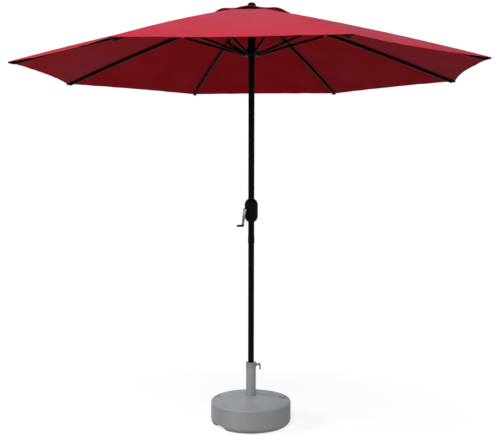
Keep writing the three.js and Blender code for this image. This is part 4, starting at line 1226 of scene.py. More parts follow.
# Turned grip, slightly waisted, with finger rings.
def makeGrip():
    start, end = alongCrank("crank_grip")
    bore, radius, length = 0.0034, crank["gripRadius"], end - start
    profile = [(bore, start), (radius - 0.0016, start), (radius - 0.0004, start + 0.0006),
               (radius, start + 0.0018)]
    for step in range(1, 48):
        share = step / 48
        waist = 0.0007 * math.sin(math.pi * share)
        ring = 0.0004 * max(0.0, math.cos(2 * math.pi * crank["gripRings"] * share)) ** 6
        profile.append((radius - waist - ring, start + 0.0018 + (length - 0.0036) * share))
    profile += [(radius, end - 0.0018), (radius - 0.0004, end - 0.0006), (radius - 0.0016, end), (bore, end)]
    grip = lathe("crankGrip", profile, abs_, 72, closedProfile=True, matrix=atGrip())
    return finishPiece(grip, "black_plastic", "grip", "crank_grip")


def makeRivet():
    start, end = alongCrank("grip_rivet")
    head, rise, shank = crank["rivetHead"], crank["rivetRise"], crank["rivet"]
    cap = end - crank["rivetCap"]
    corners = [(0, start), (head, start, 0.0018), (head, start + rise), (shank, start + rise), (shank, cap),
               (head, cap, 0.0006), (head, end, 0.0035), (0, end)]
    rivet = lathe("gripRivet", roundCorners(corners, closed=False), zinc, 64, matrix=atGrip())
    return finishPiece(rivet, "plated_steel", "crank", "grip_rivet")


makeHousing("housingFront", "housing_front", 1)
makeHousing("housingRear", "housing_rear", -1)
makeBush()
makeArm()
makeShaft()
makeGrip()
makeRivet()
print("crank housing and crank made")


# crown and runner

spokes = []
for number in range(1, 9):
    pivot = Vector(joints["rib_fold_%d" % number]["pos_m"])
    spokes.append(math.atan2(pivot.y, pivot.x))
crownPivot = (math.hypot(pivot.x, pivot.y), pivot.z)
gore = 2 * math.pi / len(spokes)

crown = {"slotWidth": 0.0106, "slotStart": 0.0276, "grooveHalf": 0.0028, "grooveLength": 0.0156}
runner = {"pivotRadius": 0.044, "slotWidth": 0.0115, "slotStart": 0.034, "grooveHalf": 0.0052,
          "grooveLength": 0.0156, "sleeve": 0.022, "skirt": 0.010, "flangeHalf": 0.010}
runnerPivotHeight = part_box("runner_hub")[0].z + runner["skirt"] + runner["flangeHalf"]


# One mesh of separate boxes: the same box at every spoke.
def spokeBoxes(name, lows, highs, material):
    return gather(name,
                  [slab("box", lows, highs, material, Matrix.Rotation(turn, 4, "Z")) for turn in spokes])


def makeCrown():
    low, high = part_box("crown_hub")
    radius, sleeveRadius, bore = 0.048, 0.0215, 0.0181
    below = crownPivot[1] - 0.009
    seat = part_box("upper_pole")[1].z + 0.0003
    corners = [(bore, low.z, 0.0004), (sleeveRadius, low.z, 0.001), (sleeveRadius, below, 0.003),
               (radius, below, 0.0015), (radius, high.z, 0.0015), (0.006, high.z), (0.006, seat),
               (bore, seat)]
    hub = lathe("crownHub", roundCorners(corners), abs_, 128, closedProfile=True)
    half = crown["slotWidth"] / 2
    slots = spokeBoxes("slots", (crown["slotStart"], -half, below - 0.01), (0.06, half, high.z + 0.01), abs_)
    reach, long = crown["grooveHalf"], crown["grooveLength"] / 2
    grooves = spokeBoxes("grooves", (crownPivot[0] - reach, -long, crownPivot[1] - reach),
                         (crownPivot[0] + reach, long, high.z + 0.01), abs_)
    cutFrom(hub, slots, grooves)
    soften(hub, 0.0004, 1)
    return finishPiece(hub, "black_plastic", "mast", "crown_hub")


# Crown cap: a flange over the ribs' ends, a neck and a domed finial with a small ball on its rim bead.
def makeCap():
    low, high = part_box("crown_cap")
    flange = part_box("crown_hub")[1].z + 0.0003
    finial = high.z - 0.021
    corners = [(0, low.z), (0.0057, low.z, 0.0005), (0.0057, flange), (0.046, flange, 0.0006),
               (0.046, flange + 0.003, 0.0015), (0.017, flange + 0.003, 0.002), (0.017, finial, 0.0008),
               (0.0245, finial, 0.0015), (0.025, finial + 0.005, 0.002), (0.0235, finial + 0.0068, 0.0006)]
    profile = roundCorners(corners, closed=False)
    for step in range(1, 13):
        turn = math.pi / 2 * step / 12
        profile.append((0.0235 * math.cos(turn),
                        finial + 0.0068 + (high.z - finial - 0.0068) * math.sin(turn)))
    profile[-1] = (0, high.z)
    cap = lathe("crownCap", profile, abs_, 96)
    return finishPiece(cap, "black_plastic", "mast", "crown_cap")


def makeRunner():
    low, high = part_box("runner_hub")
    radius, bore = 0.054, 0.0182
    bottom, top = runnerPivotHeight - runner["flangeHalf"], runnerPivotHeight + runner["flangeHalf"]
    corners = [(bore, low.z, 0.0004), (runner["sleeve"], low.z, 0.0012), (runner["sleeve"], bottom, 0.002),
               (radius, bottom, 0.002), (radius, top, 0.002), (runner["sleeve"], top, 0.004),
               (runner["sleeve"], high.z - 0.006, 0.0005),
               (runner["sleeve"] - 0.0006, high.z - 0.0055, 0.0005),
               (runner["sleeve"] - 0.0006, high.z, 0.0015), (bore, high.z, 0.0004)]
    hub = lathe("runnerHub", roundCorners(corners), abs_, 128, closedProfile=True)
    half = runner["slotWidth"] / 2
    slots = spokeBoxes("slots", (runner["slotStart"], -half, bottom - 0.01), (0.07, half, top + 0.01), abs_)
    reach, long = runner["grooveHalf"], runner["grooveLength"] / 2
    grooves = spokeBoxes("grooves", (runner["pivotRadius"] - reach, -long, bottom - 0.01),
                         (runner["pivotRadius"] + reach, long, runnerPivotHeight + 0.0028), abs_)
    cutFrom(hub, slots, grooves)
    webs = []
    for turn in spokes:
        place = Matrix.Rotation(turn + gore / 2, 4, "Z")
        outline = [(runner["sleeve"] - 0.001, top - 0.002), (0.048, top - 0.002),
                   (0.048, top + 0.002, 0.002),
                   (0.030, top + 0.014, 0.01), (runner["sleeve"] - 0.001, top + 0.034)]
        webs.append(prism("web", roundCorners(outline, steps=6), 0.003, abs_, place))
    addTo(hub, gather("webs", webs))
    soften(hub, 0.0004, 1)
    return finishPiece(hub, "black_plastic", "runner", "runner_hub")


makeCrown()
makeCap()
makeRunner()
print("crown and runner made")


# pulley and lift cord

pulley = {"rim": 0.0134, "floor": 0.0102, "half": 0.0025, "bore": 0.0024}
liftCord = {"radius": 0.0015, "turn": 0.012, "strands": 3, "lay": 0.011}
pulleyTurn = Matrix.Rotation(math.atan2(pulleyPlace.y, pulleyPlace.x), 4, "Z")


def makePulley():
    corners = [(pulley["bore"], -pulley["half"]), (pulley["rim"], -pulley["half"], 0.0004),
               (pulley["rim"], -0.0019, 0.0003), (pulley["floor"], -0.0012, 0.001),
               (pulley["floor"], 0.0012, 0.001),
               (pulley["rim"], 0.0019, 0.0003), (pulley["rim"], pulley["half"], 0.0004),
               (pulley["bore"], pulley["half"])]
    place = Matrix.Translation(pulleyPlace) @ pulleyTurn @ Matrix.Rotation(math.pi / 2, 4, "X")
    wheel = lathe("cordPulley", roundCorners(corners), abs_, 72, closedProfile=True, matrix=place)
    return finishPiece(wheel, "black_plastic", "pulley", "cord_pulley")


# Cord from the spool, over the pulley and down to the runner, laid up from three strands.
def makeLiftCord():
    offset, turn = math.hypot(pulleyPlace.x, pulleyPlace.y), liftCord["turn"]
    top = pulleyPlace.z
    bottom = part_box("runner_hub")[1].z + 0.0003
    start = Vector((offset - turn, -crank["spool"] - liftCord["radius"] - 0.0003, crankHeight))
    up = Vector((offset - turn, 0, top))
    path = [start.lerp(up, i / 220) for i in range(220)]
    for step in range(25):
        angle = math.pi * (1 - step / 24)
        path.append(Vector((offset + turn * math.cos(angle), 0, top + turn * math.sin(angle))))
    down = Vector((offset + turn, 0, top))
    path += [down.lerp(Vector((offset + turn, 0, bottom)), i / 20) for i in range(1, 21)]
    lengths = np.cumsum([0] + [(b - a).length for a, b in zip(path, path[1:])])
    sides, points, faces = 9, [], []
    for i, spot in enumerate(path):
        ahead = (path[min(i + 1, len(path) - 1)] - path[max(i - 1, 0)]).normalized()
        side = ahead.cross(Vector((0, 1, 0))).normalized()
        back = ahead.cross(side)
        twist = 2 * math.pi * lengths[i] / liftCord["lay"]
        for k in range(sides):
            angle = 2 * math.pi * k / sides
            radius = liftCord["radius"] * (0.9 + 0.1 * math.cos(liftCord["strands"] * angle))
            across = side * radius * math.cos(angle + twist)
            points.append(spot + across + back * radius * math.sin(angle + twist))
    for i in range(len(path) - 1):
        for k in range(sides):
            a, b = i * sides + k, i * sides + (k + 1) % sides
            faces.append([a, b, b + sides, a + sides])
    faces += [list(range(sides)), [len(points) - 1 - k for k in range(sides)]]
    cord = makePiece("liftCord", points, faces, yarn, pulleyTurn, angle=60)
    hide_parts("lift_cord")
    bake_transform(cord)


makePulley()
makeLiftCord()
print("pulley and lift cord made")


# ribs and struts

rib = {
    "openAngle": 15.54,  # degrees below level
    "reach": 1.366,
    "bow": 0.013,
    "width": 0.014,
    "rise": 0.010,  # above its middle line
    "drop": 0.006,  # below it
    "wall": 0.001,
    "start": 0.020,
    "end": 1.3397,
    "lugWidth": 0.010,
    "lugRadius": 0.006,
    "trunnion": 0.0025,
    "trunnionSpan": 0.015,
    "strutAlong": 0.438,
    "strutBelow": 0.66,  # degrees
    "ear": 0.0055,
    "tipEnd": 0.026,
    "tipBlunt": 0.006,
    "tipPlug": 0.024,
}
strut = {"width": 0.010, "depth": 0.014, "wall": 0.001, "solid": 0.012}
openTurn = math.radians(rib["openAngle"])
strutPivot = (rib["strutAlong"] * math.cos(math.radians(rib["strutBelow"])),
              -rib["strutAlong"] * math.sin(math.radians(rib["strutBelow"])))


def bow(along):
    return 4 * rib["bow"] * (along / rib["reach"]) * (1 - along / rib["reach"])


# From a rib's own frame (along, sideways, above) to the row frame.
def ribFrame(turn):
    crownPlace = Matrix.Translation((crownPivot[0], 0, crownPivot[1]))
    return Matrix.Rotation(turn, 4, "Z") @ crownPlace @ Matrix.Rotation(openTurn, 4, "Y")


# A folded channel's section, open side down, with its outer corners rounded.
def channelSection(width, rise, drop, wall, soft=0.0018):
    half = width / 2
    corners = [(-half, -drop, 0.0003), (-half, rise, soft), (half, rise, soft), (half, -drop, 0.0003),
               (half - wall, -drop, 0.0003), (half - wall, rise - wall, soft - wall),
               (wall - half, rise - wall, soft - wall), (wall - half, -drop, 0.0003)]
    return [(x, y, 0) for x, y in roundCorners(corners, steps=4)]


def makeRibShape():
    outline = channelSection(rib["width"], rib["rise"], rib["drop"], rib["wall"])
    section = wireObject("ribShape", [outline], loop=True)
    channel = runTree(section, channels, 32, start=rib["start"], end=rib["end"], reach=rib["reach"],
                      bow=rib["bow"], steps=49)
    lugTop = [(0.034, rib["lugRadius"], 0.002), (0.034, -rib["lugRadius"], 0.002), (0, -rib["lugRadius"])]
    for step in range(1, 16):
        turn = -math.pi / 2 - math.pi * step / 16
        lugTop.append((rib["lugRadius"] * math.cos(turn), rib["lugRadius"] * math.sin(turn)))
    lug = soften(prism("lug", roundCorners(lugTop + [(0, rib["lugRadius"])]), rib["lugWidth"], coat), 0.0005)
    half = rib["trunnionSpan"] / 2
    pin = bar("pin", rib["trunnion"], (0, -half, 0), (0, half, 0), zinc, 24, 0.0004)
    ears = []
    foot = bow(strutPivot[0]) - rib["drop"] + 0.004
    for side in (-1, 1):
        outline = [(strutPivot[0] + 0.014, foot), (strutPivot[0] - 0.014, foot)]
        for step in range(17):
            turn = math.pi + math.pi * step / 16
            outline.append((strutPivot[0] + rib["ear"] * math.cos(turn),
                            strutPivot[1] + rib["ear"] * math.sin(turn)))
        offset = side * (rib["width"] - rib["wall"]) / 2
        ears.append(prism("ear", outline, rib["wall"], coat, offset=offset))
    strutPin = bar("strutPin", rib["trunnion"], (strutPivot[0], -0.0068, strutPivot[1]),
                   (strutPivot[0], 0.0068, strutPivot[1]), zinc, 24)
    heads = [Vector((strutPivot[0], side * 0.0068, strutPivot[1])) for side in (-1, 1)]
    domes = runTree(pointObject("rivets", heads, [Vector((0, side, 0)) for side in (-1, 1)]), rivets, 60,
                    radius=0.0042, rise=0.0017)
    return gather("ribShape", [channel, lug, pin, *ears, strutPin, domes])


# Moulded plug in the channel's open end, with a nose that narrows towards the hem.
def makeTipShape():
    start, first = rib["end"] - rib["tipPlug"], rib["reach"] - rib["tipEnd"]
    inside = rib["width"] / 2 - rib["wall"] - 0.0003
    plugPiece = slab("plug", (start, -inside, bow(start) - rib["drop"]),
                     (first + 0.004, inside, bow(rib["end"]) + rib["rise"] - rib["wall"] - 0.0003), abs_)
    bend = [Vector((first + rib["tipEnd"] / 4, bow(first) - rib["drop"])),
            Vector((rib["reach"] - rib["tipBlunt"], rib["rise"] - rib["tipBlunt"])),
            Vector((rib["reach"], rib["rise"] - rib["tipBlunt"]))]
    outline = [(first, bow(first) - rib["drop"])]
    for share in np.linspace(0, 1, 12):
        curve = bend[0] * (1 - share) ** 2 + bend[1] * 2 * share * (1 - share) + bend[2] * share ** 2
        outline.append(tuple(curve))
    outline += [(rib["reach"], rib["rise"] - 0.002), (rib["reach"] - 0.002, rib["rise"]),
                (first, bow(first) + rib["rise"])]
    nose = soften(prism("tipShape", outline, rib["width"], abs_), 0.0014, 3, limit=60)
    return addTo(nose, plugPiece)


def strutFrame(turn):
    pivot = Vector(joints["strut_fold_1"]["pos_m"])
    top = Vector((math.hypot(pivot.x, pivot.y), 0, pivot.z))
    foot = Vector((runner["pivotRadius"], 0, runnerPivotHeight))
    lean = math.atan2(top.z - foot.z, foot.x - top.x)
    atTop = Matrix.Rotation(turn, 4, "Z") @ Matrix.Translation(top)
    return atTop @ Matrix.Rotation(lean, 4, "Y"), (foot - top).length


# A strut: a folded channel with round closed ends, bored for the rib's pin, with trunnions
# at the runner's end.
def makeStrutShape():
    length = strutFrame(0)[1]
    half = strut["depth"] / 2
    outline = []
    for centre, first in ((0, math.pi / 2), (length, -math.pi / 2)):
        for step in range(17):
            turn = first + math.pi * step / 16
            outline.append((centre + half * math.cos(turn), half * math.sin(turn)))
    bar_ = soften(prism("strutShape", outline, strut["width"], coat), 0.0008, 2)
    inside = strut["width"] / 2 - strut["wall"]
    hollow = slab("hollow", (strut["solid"], -inside, -half - 0.01),
                  (length - strut["solid"], inside, half - strut["wall"]), coat)
    hole = bar("hole", rib["trunnion"] + 0.0003, (0, -0.02, 0), (0, 0.02, 0), coat, 24)
    cutFrom(bar_, hollow, hole)
    span = rib["trunnionSpan"] / 2
    pin = bar("pin", rib["trunnion"], (length, -span, 0), (length, span, 0), zinc, 24, 0.0004)
    return gather("strutShape", [bar_, pin])


def makeSpokes():
    ribShape, tipShape, strutShape = makeRibShape(), makeTipShape(), makeStrutShape()
    for number, turn in enumerate(spokes, 1):
        body = "rib_%d" % number
        ribBar = copyPiece(ribShape, "ribBar%d" % number, ribFrame(turn))
        finishPiece(ribBar, "black_powder_coat", body, body)
        tip = copyPiece(tipShape, "ribTip%d" % number, ribFrame(turn))
        finishPiece(tip, "black_plastic", body, "rib_tip_%d" % number)
        arm = copyPiece(strutShape, "strutBar%d" % number, strutFrame(turn)[0])
        finishPiece(arm, "black_powder_coat", "strut_%d" % number, "strut_%d" % number)
    for shape in (ribShape, tipShape, strutShape):
        bpy.data.objects.remove(shape)


makeSpokes()
print("ribs and struts made")


# canopy

canopy = {
    "thickness": 0.0008,
    "gap": 0.0009,  # over the rib
    "opening": 0.172,  # crown pivot to the opening's edge, along a rib
    "hem": 1.362,
    "scallop": 0.038,
    "sag": 0.013,
    "ridge": 0.006,  # how softly the cloth turns over a rib
    "hemFold": 0.018,
    "openingFold": 0.012,
    "fold": 0.0008,  # what a folded edge adds underneath
    "seam": 0.0055,  # half the width of the felled seam over a rib
    "seamRise": 0.0006,
    "wrinkle": 0.0022,
    "rows": 56,
    "columns": 22,
}
vent = {
    "inner": 0.0173,
    "radius": 0.235,
    "arch": 0.018,
    "fold": 0.010,
    "gap": 0.0003,
    "rows": 22,
    "columns": 10,
}
stitch = {"pitch": 0.0062, "length": 0.0046, "width": 0.0009, "stand": 0.0005}
slope = math.tan(gore / 2)
chance = np.random.default_rng(7)
wrinkles = chance.uniform(0.6, 1.0, (8, 2, 4)), chance.uniform(0, 2 * math.pi, (8, 2, 4))


def softened(sideways):
    return np.sqrt(sideways ** 2 + canopy["ridge"] ** 2) - canopy["ridge"]


# Sideways distance from a rib to the middle of its gore, where a row leaves the rib at `radius`.
def goreEdge(radius):
    edge = radius * slope / (1 + slope ** 2)
    for _ in range(12):
        edge = (radius - softened(edge) * slope) * slope
    return edge


def ribPoint(along, above):
    radius = crownPivot[0] + along * math.cos(openTurn) + above * math.sin(openTurn)
    return radius, crownPivot[1] - along * math.sin(openTurn) + above * math.cos(openTurn)


# The main canopy's upper face beside one rib. `rows` holds (from the opening, share, from the hem);
# across is the share from the band's edge to the middle of the gore, or sideways distances in the band.
def clothFace(rows, across, bandHalf, inBand, number, side):
    fromOpening, share, fromHem = [np.array(v)[:, None] for v in zip(*rows)]
    across = np.array(across)[None]
    part = np.abs(across) / 0.5 if inBand else across
    part = np.broadcast_to(np.clip(part, 0, 1), (len(rows), across.shape[1])).copy()
    for _ in range(14):
        round_ = 1 - (1 - part) ** 2
        hem = canopy["hem"] - canopy["scallop"] * round_
        first = canopy["opening"] + fromOpening
        along = first + (hem - fromHem - first) * share
        lift = bow(along) + rib["rise"] + canopy["gap"] + canopy["thickness"]
        radius, height = ribPoint(along, lift)
        edge = goreEdge(radius)
        sideways = np.abs(across) + 0 * edge if inBand else bandHalf + (edge - bandHalf) * across
        part = softened(sideways) / softened(edge)
    x = radius - softened(sideways) * slope
    z = height - canopy["sag"] * round_ * (along / rib["reach"]) ** 2
    amounts, starts = wrinkles[0][number - 1, side], wrinkles[1][number - 1, side]
    away = np.sin(math.pi * np.clip(part, 0, 1)) ** 2
    ripple = sum(amounts[i] * np.sin(starts[i] + along * (5 + 4 * i) + part * (6 - 3 * i))
                 for i in range(4)) / 4
    pull = np.exp(-((hem - along) / 0.16) ** 2) * np.sin(part * math.pi * 7 + starts[0])
    z = z + canopy["wrinkle"] * away * (ripple + 0.35 * pull)
    pucker = 0.00022 * np.sin(along * 230 + number) * np.exp(-(sideways / 0.012) ** 2)
    seam = 1 / (1 + np.exp(np.clip((sideways - canopy["seam"]) / 0.00025, -40, 40)))
    z = z + pucker + canopy["seamRise"] * seam
    return x, sideways, z, along


# A closed sheet from its upper face's grid and its thickness, with a weave map in metres.
def sheetPiece(name, x, y, z, thickness, along, turn):
    rows, columns = x.shape
    top = np.stack([x, y, z], -1).reshape(-1, 3)
    under = top - np.stack([0 * x, 0 * x, np.broadcast_to(thickness, x.shape)], -1).reshape(-1, 3)
    points = np.concatenate([top, under])
    count = rows * columns
    flip = y[-1, -1] > y[-1, 0]
    faces = []
    for r in range(rows - 1):
        for c in range(columns - 1):
            a = r * columns + c
            quad = [a, a + columns, a + columns + 1, a + 1]
            upper = quad if flip else quad[::-1]
            faces += [upper, [v + count for v in upper[::-1]]]
    border = [(r * columns, (r + 1) * columns) for r in range(rows - 1)]
    border += [((rows - 1) * columns + c, (rows - 1) * columns + c + 1) for c in range(columns - 1)]
    border += [((r + 1) * columns + columns - 1, r * columns + columns - 1) for r in range(rows - 1)]
    border += [(c + 1, c) for c in range(columns - 1)]
    for a, b in border:
        wall = [b, a, a + count, b + count]
        faces.append(wall if flip else wall[::-1])
    mesh = bpy.data.meshes.new(name)
    mesh.from_pydata(points.tolist(), [], faces)
    layer = mesh.uv_layers.new(name="weave")
    flatMap = np.stack([y, along], -1).reshape(-1, 2)
    flatMap = np.concatenate([flatMap, flatMap])
    corners = np.zeros(len(mesh.loops), np.int32)
    mesh.loops.foreach_get("vertex_index", corners)
    layer.data.foreach_set("uv", flatMap[corners].astype(np.float32).ravel())
    mesh.transform(Matrix.Rotation(turn, 4, "Z"))
    mesh.materials.append(fabric)
    shadeSmooth(mesh, 40)
    return linkObject(name, mesh)


def stitchPaths(name, paths, turn, height):
    wires = wireObject(name, paths)
    moved(wires, Matrix.Rotation(turn, 4, "Z"))
    return runTree(wires, stitches, 60, pitch=stitch["pitch"], length=stitch["length"],
                   width=stitch["width"], height=height)


# Rows down the main canopy: the opening's folded edge, the open field, and the hem.
def clothRows():
    fold, hemFold = canopy["openingFold"], canopy["hemFold"]
    rows = [(e, 0, 0) for e in (0, 0.0005, 0.003, fold - 0.0025, fold, fold + 0.001)]
    rows += [(fold + 0.001, s, hemFold + 0.001) for s in np.linspace(0, 1, canopy["rows"])[1:]]
    rows += [(0, 1, e) for e in (hemFold, hemFold - 0.0025, 0.009, 0.004, 0.0018, 0.0005, 0)]
    return rows


def clothThickness(rows):
    thick = []
    for fromOpening, share, fromHem in rows:
        folded = (share == 0 and fromOpening <= canopy["openingFold"] - 0.002) or \
            (share == 1 and fromHem <= canopy["hemFold"] - 0.002)
        rounded = (share == 0 and fromOpening == 0) or (share == 1 and fromHem == 0)
        thick.append(canopy["thickness"] + (canopy["fold"] if folded else 0) - (0.0006 if rounded else 0))
    return np.array(thick)[:, None]


# Where the canopy is folded, each gore's middle has to lie between its two ribs, so the cloth
# beyond a band over each rib would have to shrink sideways. The band's half width and the share of
# the cloth that would be kept are fitted to that; the cloth itself is not shrunk here.
def foldFit(x, y, z):
    angle = math.radians(joints["rib_fold_1"]["range_deg"][1])
    folded = crownPivot[0] + (x - crownPivot[0]) * math.cos(angle) + (z - crownPivot[1]) * math.sin(angle)
    keep, offset = np.polyfit(y, folded * slope, 1)
    return float(offset / (1 - keep)), float(keep)


rows = clothRows()
edgeX, edgeY, edgeZ, _ = clothFace(rows, [1.0], 0.01, False, 1, 0)
bandHalf, clothKeep = foldFit(edgeX[:, 0], edgeY[:, 0], edgeZ[:, 0])
print("canopy band %.4f m, keep %.3f" % (bandHalf, clothKeep))


# The cloth over one rib: a band with its felled seam, and the gore's half on each side.
def makeCloth(number, turn):
    body = "rib_%d" % number
    thick = clothThickness(rows)
    seam = canopy["seam"]
    inner = np.array([0, seam / 2, seam - 0.0008, seam, seam + 0.0008, (seam + bandHalf) / 2 + 0.0006,
                      bandHalf])
    across = np.concatenate([-inner[:0:-1], inner])
    x, y, z, along = clothFace(rows, across, bandHalf, True, number, 0)
    y = np.sign(across)[None] * y
    band = sheetPiece("canopySeam%d" % number, x, y, z, thick, along, turn)
    finishPiece(band, "canopy_fabric", body)
    middle = len(across) // 2
    lines = []
    for side in (-1, 1):
        line = np.interp(side * 0.0042, across, np.arange(len(across)))
        low, part = int(line), line - int(line)
        for_ = [np.array((x[r, low] * (1 - part) + x[r, low + 1] * part,
                          y[r, low] * (1 - part) + y[r, low + 1] * part,
                          z[r, low] * (1 - part) + z[r, low + 1] * part - canopy["thickness"] / 2))
                for r in range(2, len(rows) - 2)]
        lines.append(for_)
    for row in (3, len(rows) - 6, len(rows) - 4):
        lines.append([np.array((x[row, c], y[row, c],
                                z[row, c] - thick[row, 0] / 2)) for c in range(len(across))])
    height = canopy["thickness"] + canopy["seamRise"] + 2 * stitch["stand"]
    seamThread = finishPiece(stitchPaths("seamThread%d" % number, lines, turn, height + 0.0004),
                             "canopy_fabric", body)
    shares = np.linspace(0, 1, canopy["columns"] + 1)
    for side, label in ((0, "Left"), (1, "Right")):
        sign = 1 if side == 0 else -1
        x, y, z, along = clothFace(rows, shares, bandHalf, False, number, side)
        half = sheetPiece("canopyGore%s%d" % (label, number), x, sign * y, z, thick, along, turn)
        finishPiece(half, "canopy_fabric", body, *(["canopy_panel_%d" % number] if side == 0 else []))
        lines = []
        for row in (3, len(rows) - 6, len(rows) - 4):
            lines.append([np.array((x[row, c], sign * y[row, c], z[row, c] - thick[row, 0] / 2))
                          for c in range(len(shares))])
        hemThread = stitchPaths("hemThread%s%d" % (label, number), lines, turn,
                                canopy["thickness"] + canopy["fold"] + 2 * stitch["stand"])
        finishPiece(hemThread, "canopy_fabric", body)
        for piece in (half, hemThread):
            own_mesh(piece)


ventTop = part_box("vent_canopy")[1].z - 0.0001


# The vent canopy's upper face beside one rib, on rows that leave the rib at `radii`.
def ventFace(radii, across, half, inBand):
    radius = np.array(radii)[:, None]
    across = np.array(across)[None]
    edge = goreEdge(radius)
    if inBand:
        sideways = np.abs(across) * np.minimum(half, edge)
    else:
        sideways = half + np.maximum(edge - half, 0) * across
    part = softened(sideways) / softened(edge)
    share = (radius - vent["inner"]) / (vent["radius"] - vent["inner"])
    level = (vent["radius"] - crownPivot[0]) / math.cos(openTurn)
    lift = bow(level) + rib["rise"] + canopy["gap"] + canopy["thickness"]
    corner = ribPoint(level - lift * math.tan(openTurn), lift)[1]
    corner += vent["gap"] + canopy["seamRise"] + canopy["thickness"] / math.cos(openTurn)
    x = radius - softened(sideways) * slope
    arch = vent["arch"] * share ** 2 * (1 - (1 - part) ** 2)
    z = ventTop + (corner - ventTop) * share + arch
    return x, sideways, z, radius + 0 * x


def ventRows(start):
    fold = vent["fold"]
    end = vent["radius"]
    return list(np.linspace(start, end - fold - 0.001, vent["rows"])) + \
        [end - fold, end - fold + 0.002, end - 0.004, end - 0.0015, end - 0.0004, end]


def ventThickness(radii):
    folds = vent["radius"] - vent["fold"] + 0.0015
    return np.array([canopy["thickness"] + (canopy["fold"] if r >= folds else 0)
                     - (0.0006 if r == vent["radius"] else 0) for r in radii])[:, None]


allRadii = ventRows(0.06)
ventX, ventY, ventZ, _ = ventFace(allRadii, [1.0], 0.01, False)
ventHalf, ventKeep = foldFit(ventX[:, 0], ventY[:, 0], ventZ[:, 0])
print("vent band %.4f m, keep %.3f" % (ventHalf, ventKeep))


def makeVent(number, turn):
    body = "rib_%d" % number
    radii = ventRows(vent["inner"])
    thick = ventThickness(radii)
    across = np.linspace(-1, 1, 13)
    x, y, z, along = ventFace(radii, across, ventHalf, True)
    y = np.sign(across)[None] * y
    band = sheetPiece("ventSeam%d" % number, x, y, z, thick, along, turn)
    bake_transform(band)
    if number == 1:
        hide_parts("vent_canopy")
    start = next(r for r in np.linspace(0.05, 0.08, 301) if goreEdge(r) > ventHalf)
    radii = ventRows(start)
    thick = ventThickness(radii)
    shares = np.linspace(0, 1, vent["columns"] + 1)
    for side, label in ((1, "Left"), (-1, "Right")):
        x, y, z, along = ventFace(radii, shares, ventHalf, False)
        half = sheetPiece("ventGore%s%d" % (label, number), x, side * y, z, thick, along, turn)
        finishPiece(half, "canopy_fabric", body)
        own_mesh(half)


for number, turn in enumerate(spokes, 1):
    makeCloth(number, turn)
    makeVent(number, turn)
print("canopy sewn:", len(spokes), "gores and a vent")


# floor, light and background

studio = {
    "floor": 7.0,
    "fade": (0.5, 1.6),  # the floor's grey fades to white between these distances
    "ambient": 0.20,
    "floorGrey": 0.28,  # the floor near the base, under the lamps' light
    "floorGlow": 0.80,
    "bounceGrey": 0.26,  # what the floor sends back to the object
    "lamps": {
        "key": {"place": (-0.7, -5.0, 5.3), "aim": (0, 0, 1.4), "size": 2.6, "power": 255},
        "fill": {"place": (3.4, -3.9, 1.5), "aim": (0, 0, 0.3), "size": 1.6, "power": 50},
        "side": {"place": (-4.6, -1.6, 2.9), "aim": (0, 0, 1.2), "size": 1.6, "power": 130},
        "under": {"place": (0.3, -2.3, 0.4), "aim": (0, 0, 2.3), "size": 1.2, "power": 7},
    },
}


def areaLight(name, place, aim, size, power):
    data = bpy.data.lights.new(name, "AREA")
    data.size = size
    data.energy = power
    lamp = bpy.data.objects.new(name, data)
    scene.collection.objects.link(lamp)
    lamp.location = place
    lamp.rotation_mode = "QUATERNION"
    lamp.rotation_quaternion = (Vector(aim) - Vector(place)).to_track_quat("-Z", "Y")
    lamp.visible_camera = False
    lamp.visible_glossy = False
    return lamp


# White where a camera, glossy or transmitted ray sees it, and a plain level for diffuse rays.
def seenRays(tree):
    path = addNode(tree, "ShaderNodeLightPath")
    first = addNode(tree, "ShaderNodeMath", {"operation": "MAXIMUM"},
                    {0: path.outputs["Is Camera Ray"], 1: path.outputs["Is Transmission Ray"]})
    return addNode(tree, "ShaderNodeMath", {"operation": "MAXIMUM"},
                   {0: first.outputs[0], 1: path.outputs["Is Glossy Ray"]}).outputs[0]


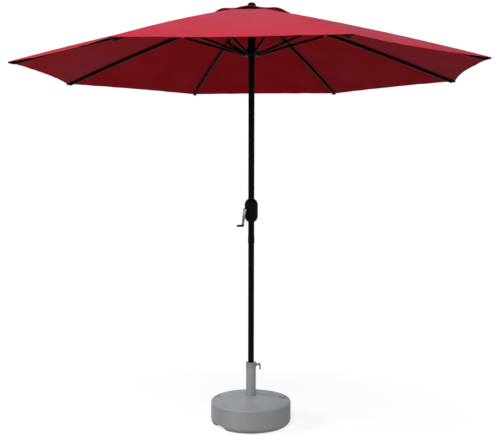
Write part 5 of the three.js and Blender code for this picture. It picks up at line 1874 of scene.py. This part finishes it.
def makeWorld():
    world = bpy.data.worlds.new("studio")
    scene.world = world
    world.use_nodes = True
    tree = world.node_tree
    strength = addNode(tree, "ShaderNodeMapRange", {}, {"Value": seenRays(tree), "To Min": studio["ambient"],
                                                        "To Max": 1.0})
    tree.links.new(strength.outputs[0], tree.nodes["Background"].inputs[1])
    tree.nodes["Background"].inputs[0].default_value = (1, 1, 1, 1)


def makeFloor():
    size = studio["floor"]
    points, faces = latheMesh([(0, 0), (size, 0)], 96)
    floor = makePiece("floor", points, faces, closed=False)
    floor.location.z = -0.0005
    material = bpy.data.materials.new("paleFloor")
    material.use_nodes = True
    tree = material.node_tree
    tree.nodes.remove(tree.nodes["Principled BSDF"])
    pale = addNode(tree, "ShaderNodeBsdfDiffuse", {}, {"Color": [studio["floorGrey"]] * 3 + [1]})
    dim = addNode(tree, "ShaderNodeBsdfDiffuse", {}, {"Color": [studio["bounceGrey"]] * 3 + [1]})
    glow = addNode(tree, "ShaderNodeEmission", {}, {"Strength": studio["floorGlow"]})
    near = addNode(tree, "ShaderNodeAddShader", {}, {0: pale.outputs[0], 1: glow.outputs[0]})
    white = addNode(tree, "ShaderNodeEmission", {}, {"Strength": 1.0})
    place = addNode(tree, "ShaderNodeTexCoord").outputs["Object"]
    distance = addNode(tree, "ShaderNodeVectorMath", {"operation": "LENGTH"}, {0: place}).outputs["Value"]
    faded = addNode(tree, "ShaderNodeMapRange", {"interpolation_type": "SMOOTHSTEP"},
                    {"Value": distance, "From Min": studio["fade"][0], "From Max": studio["fade"][1]})
    seen = addNode(tree, "ShaderNodeMixShader", {},
                   {0: faded.outputs[0], 1: near.outputs[0], 2: white.outputs[0]})
    mixed = addNode(tree, "ShaderNodeMixShader", {},
                    {0: seenRays(tree), 1: dim.outputs[0], 2: seen.outputs[0]})
    tree.links.new(mixed.outputs[0], tree.nodes["Material Output"].inputs[0])
    floor.data.materials.append(material)


makeWorld()
makeFloor()
for name, lamp in studio["lamps"].items():
    areaLight(name + "Light", **lamp)
scene.view_settings.view_transform = "Standard"
print("studio set")
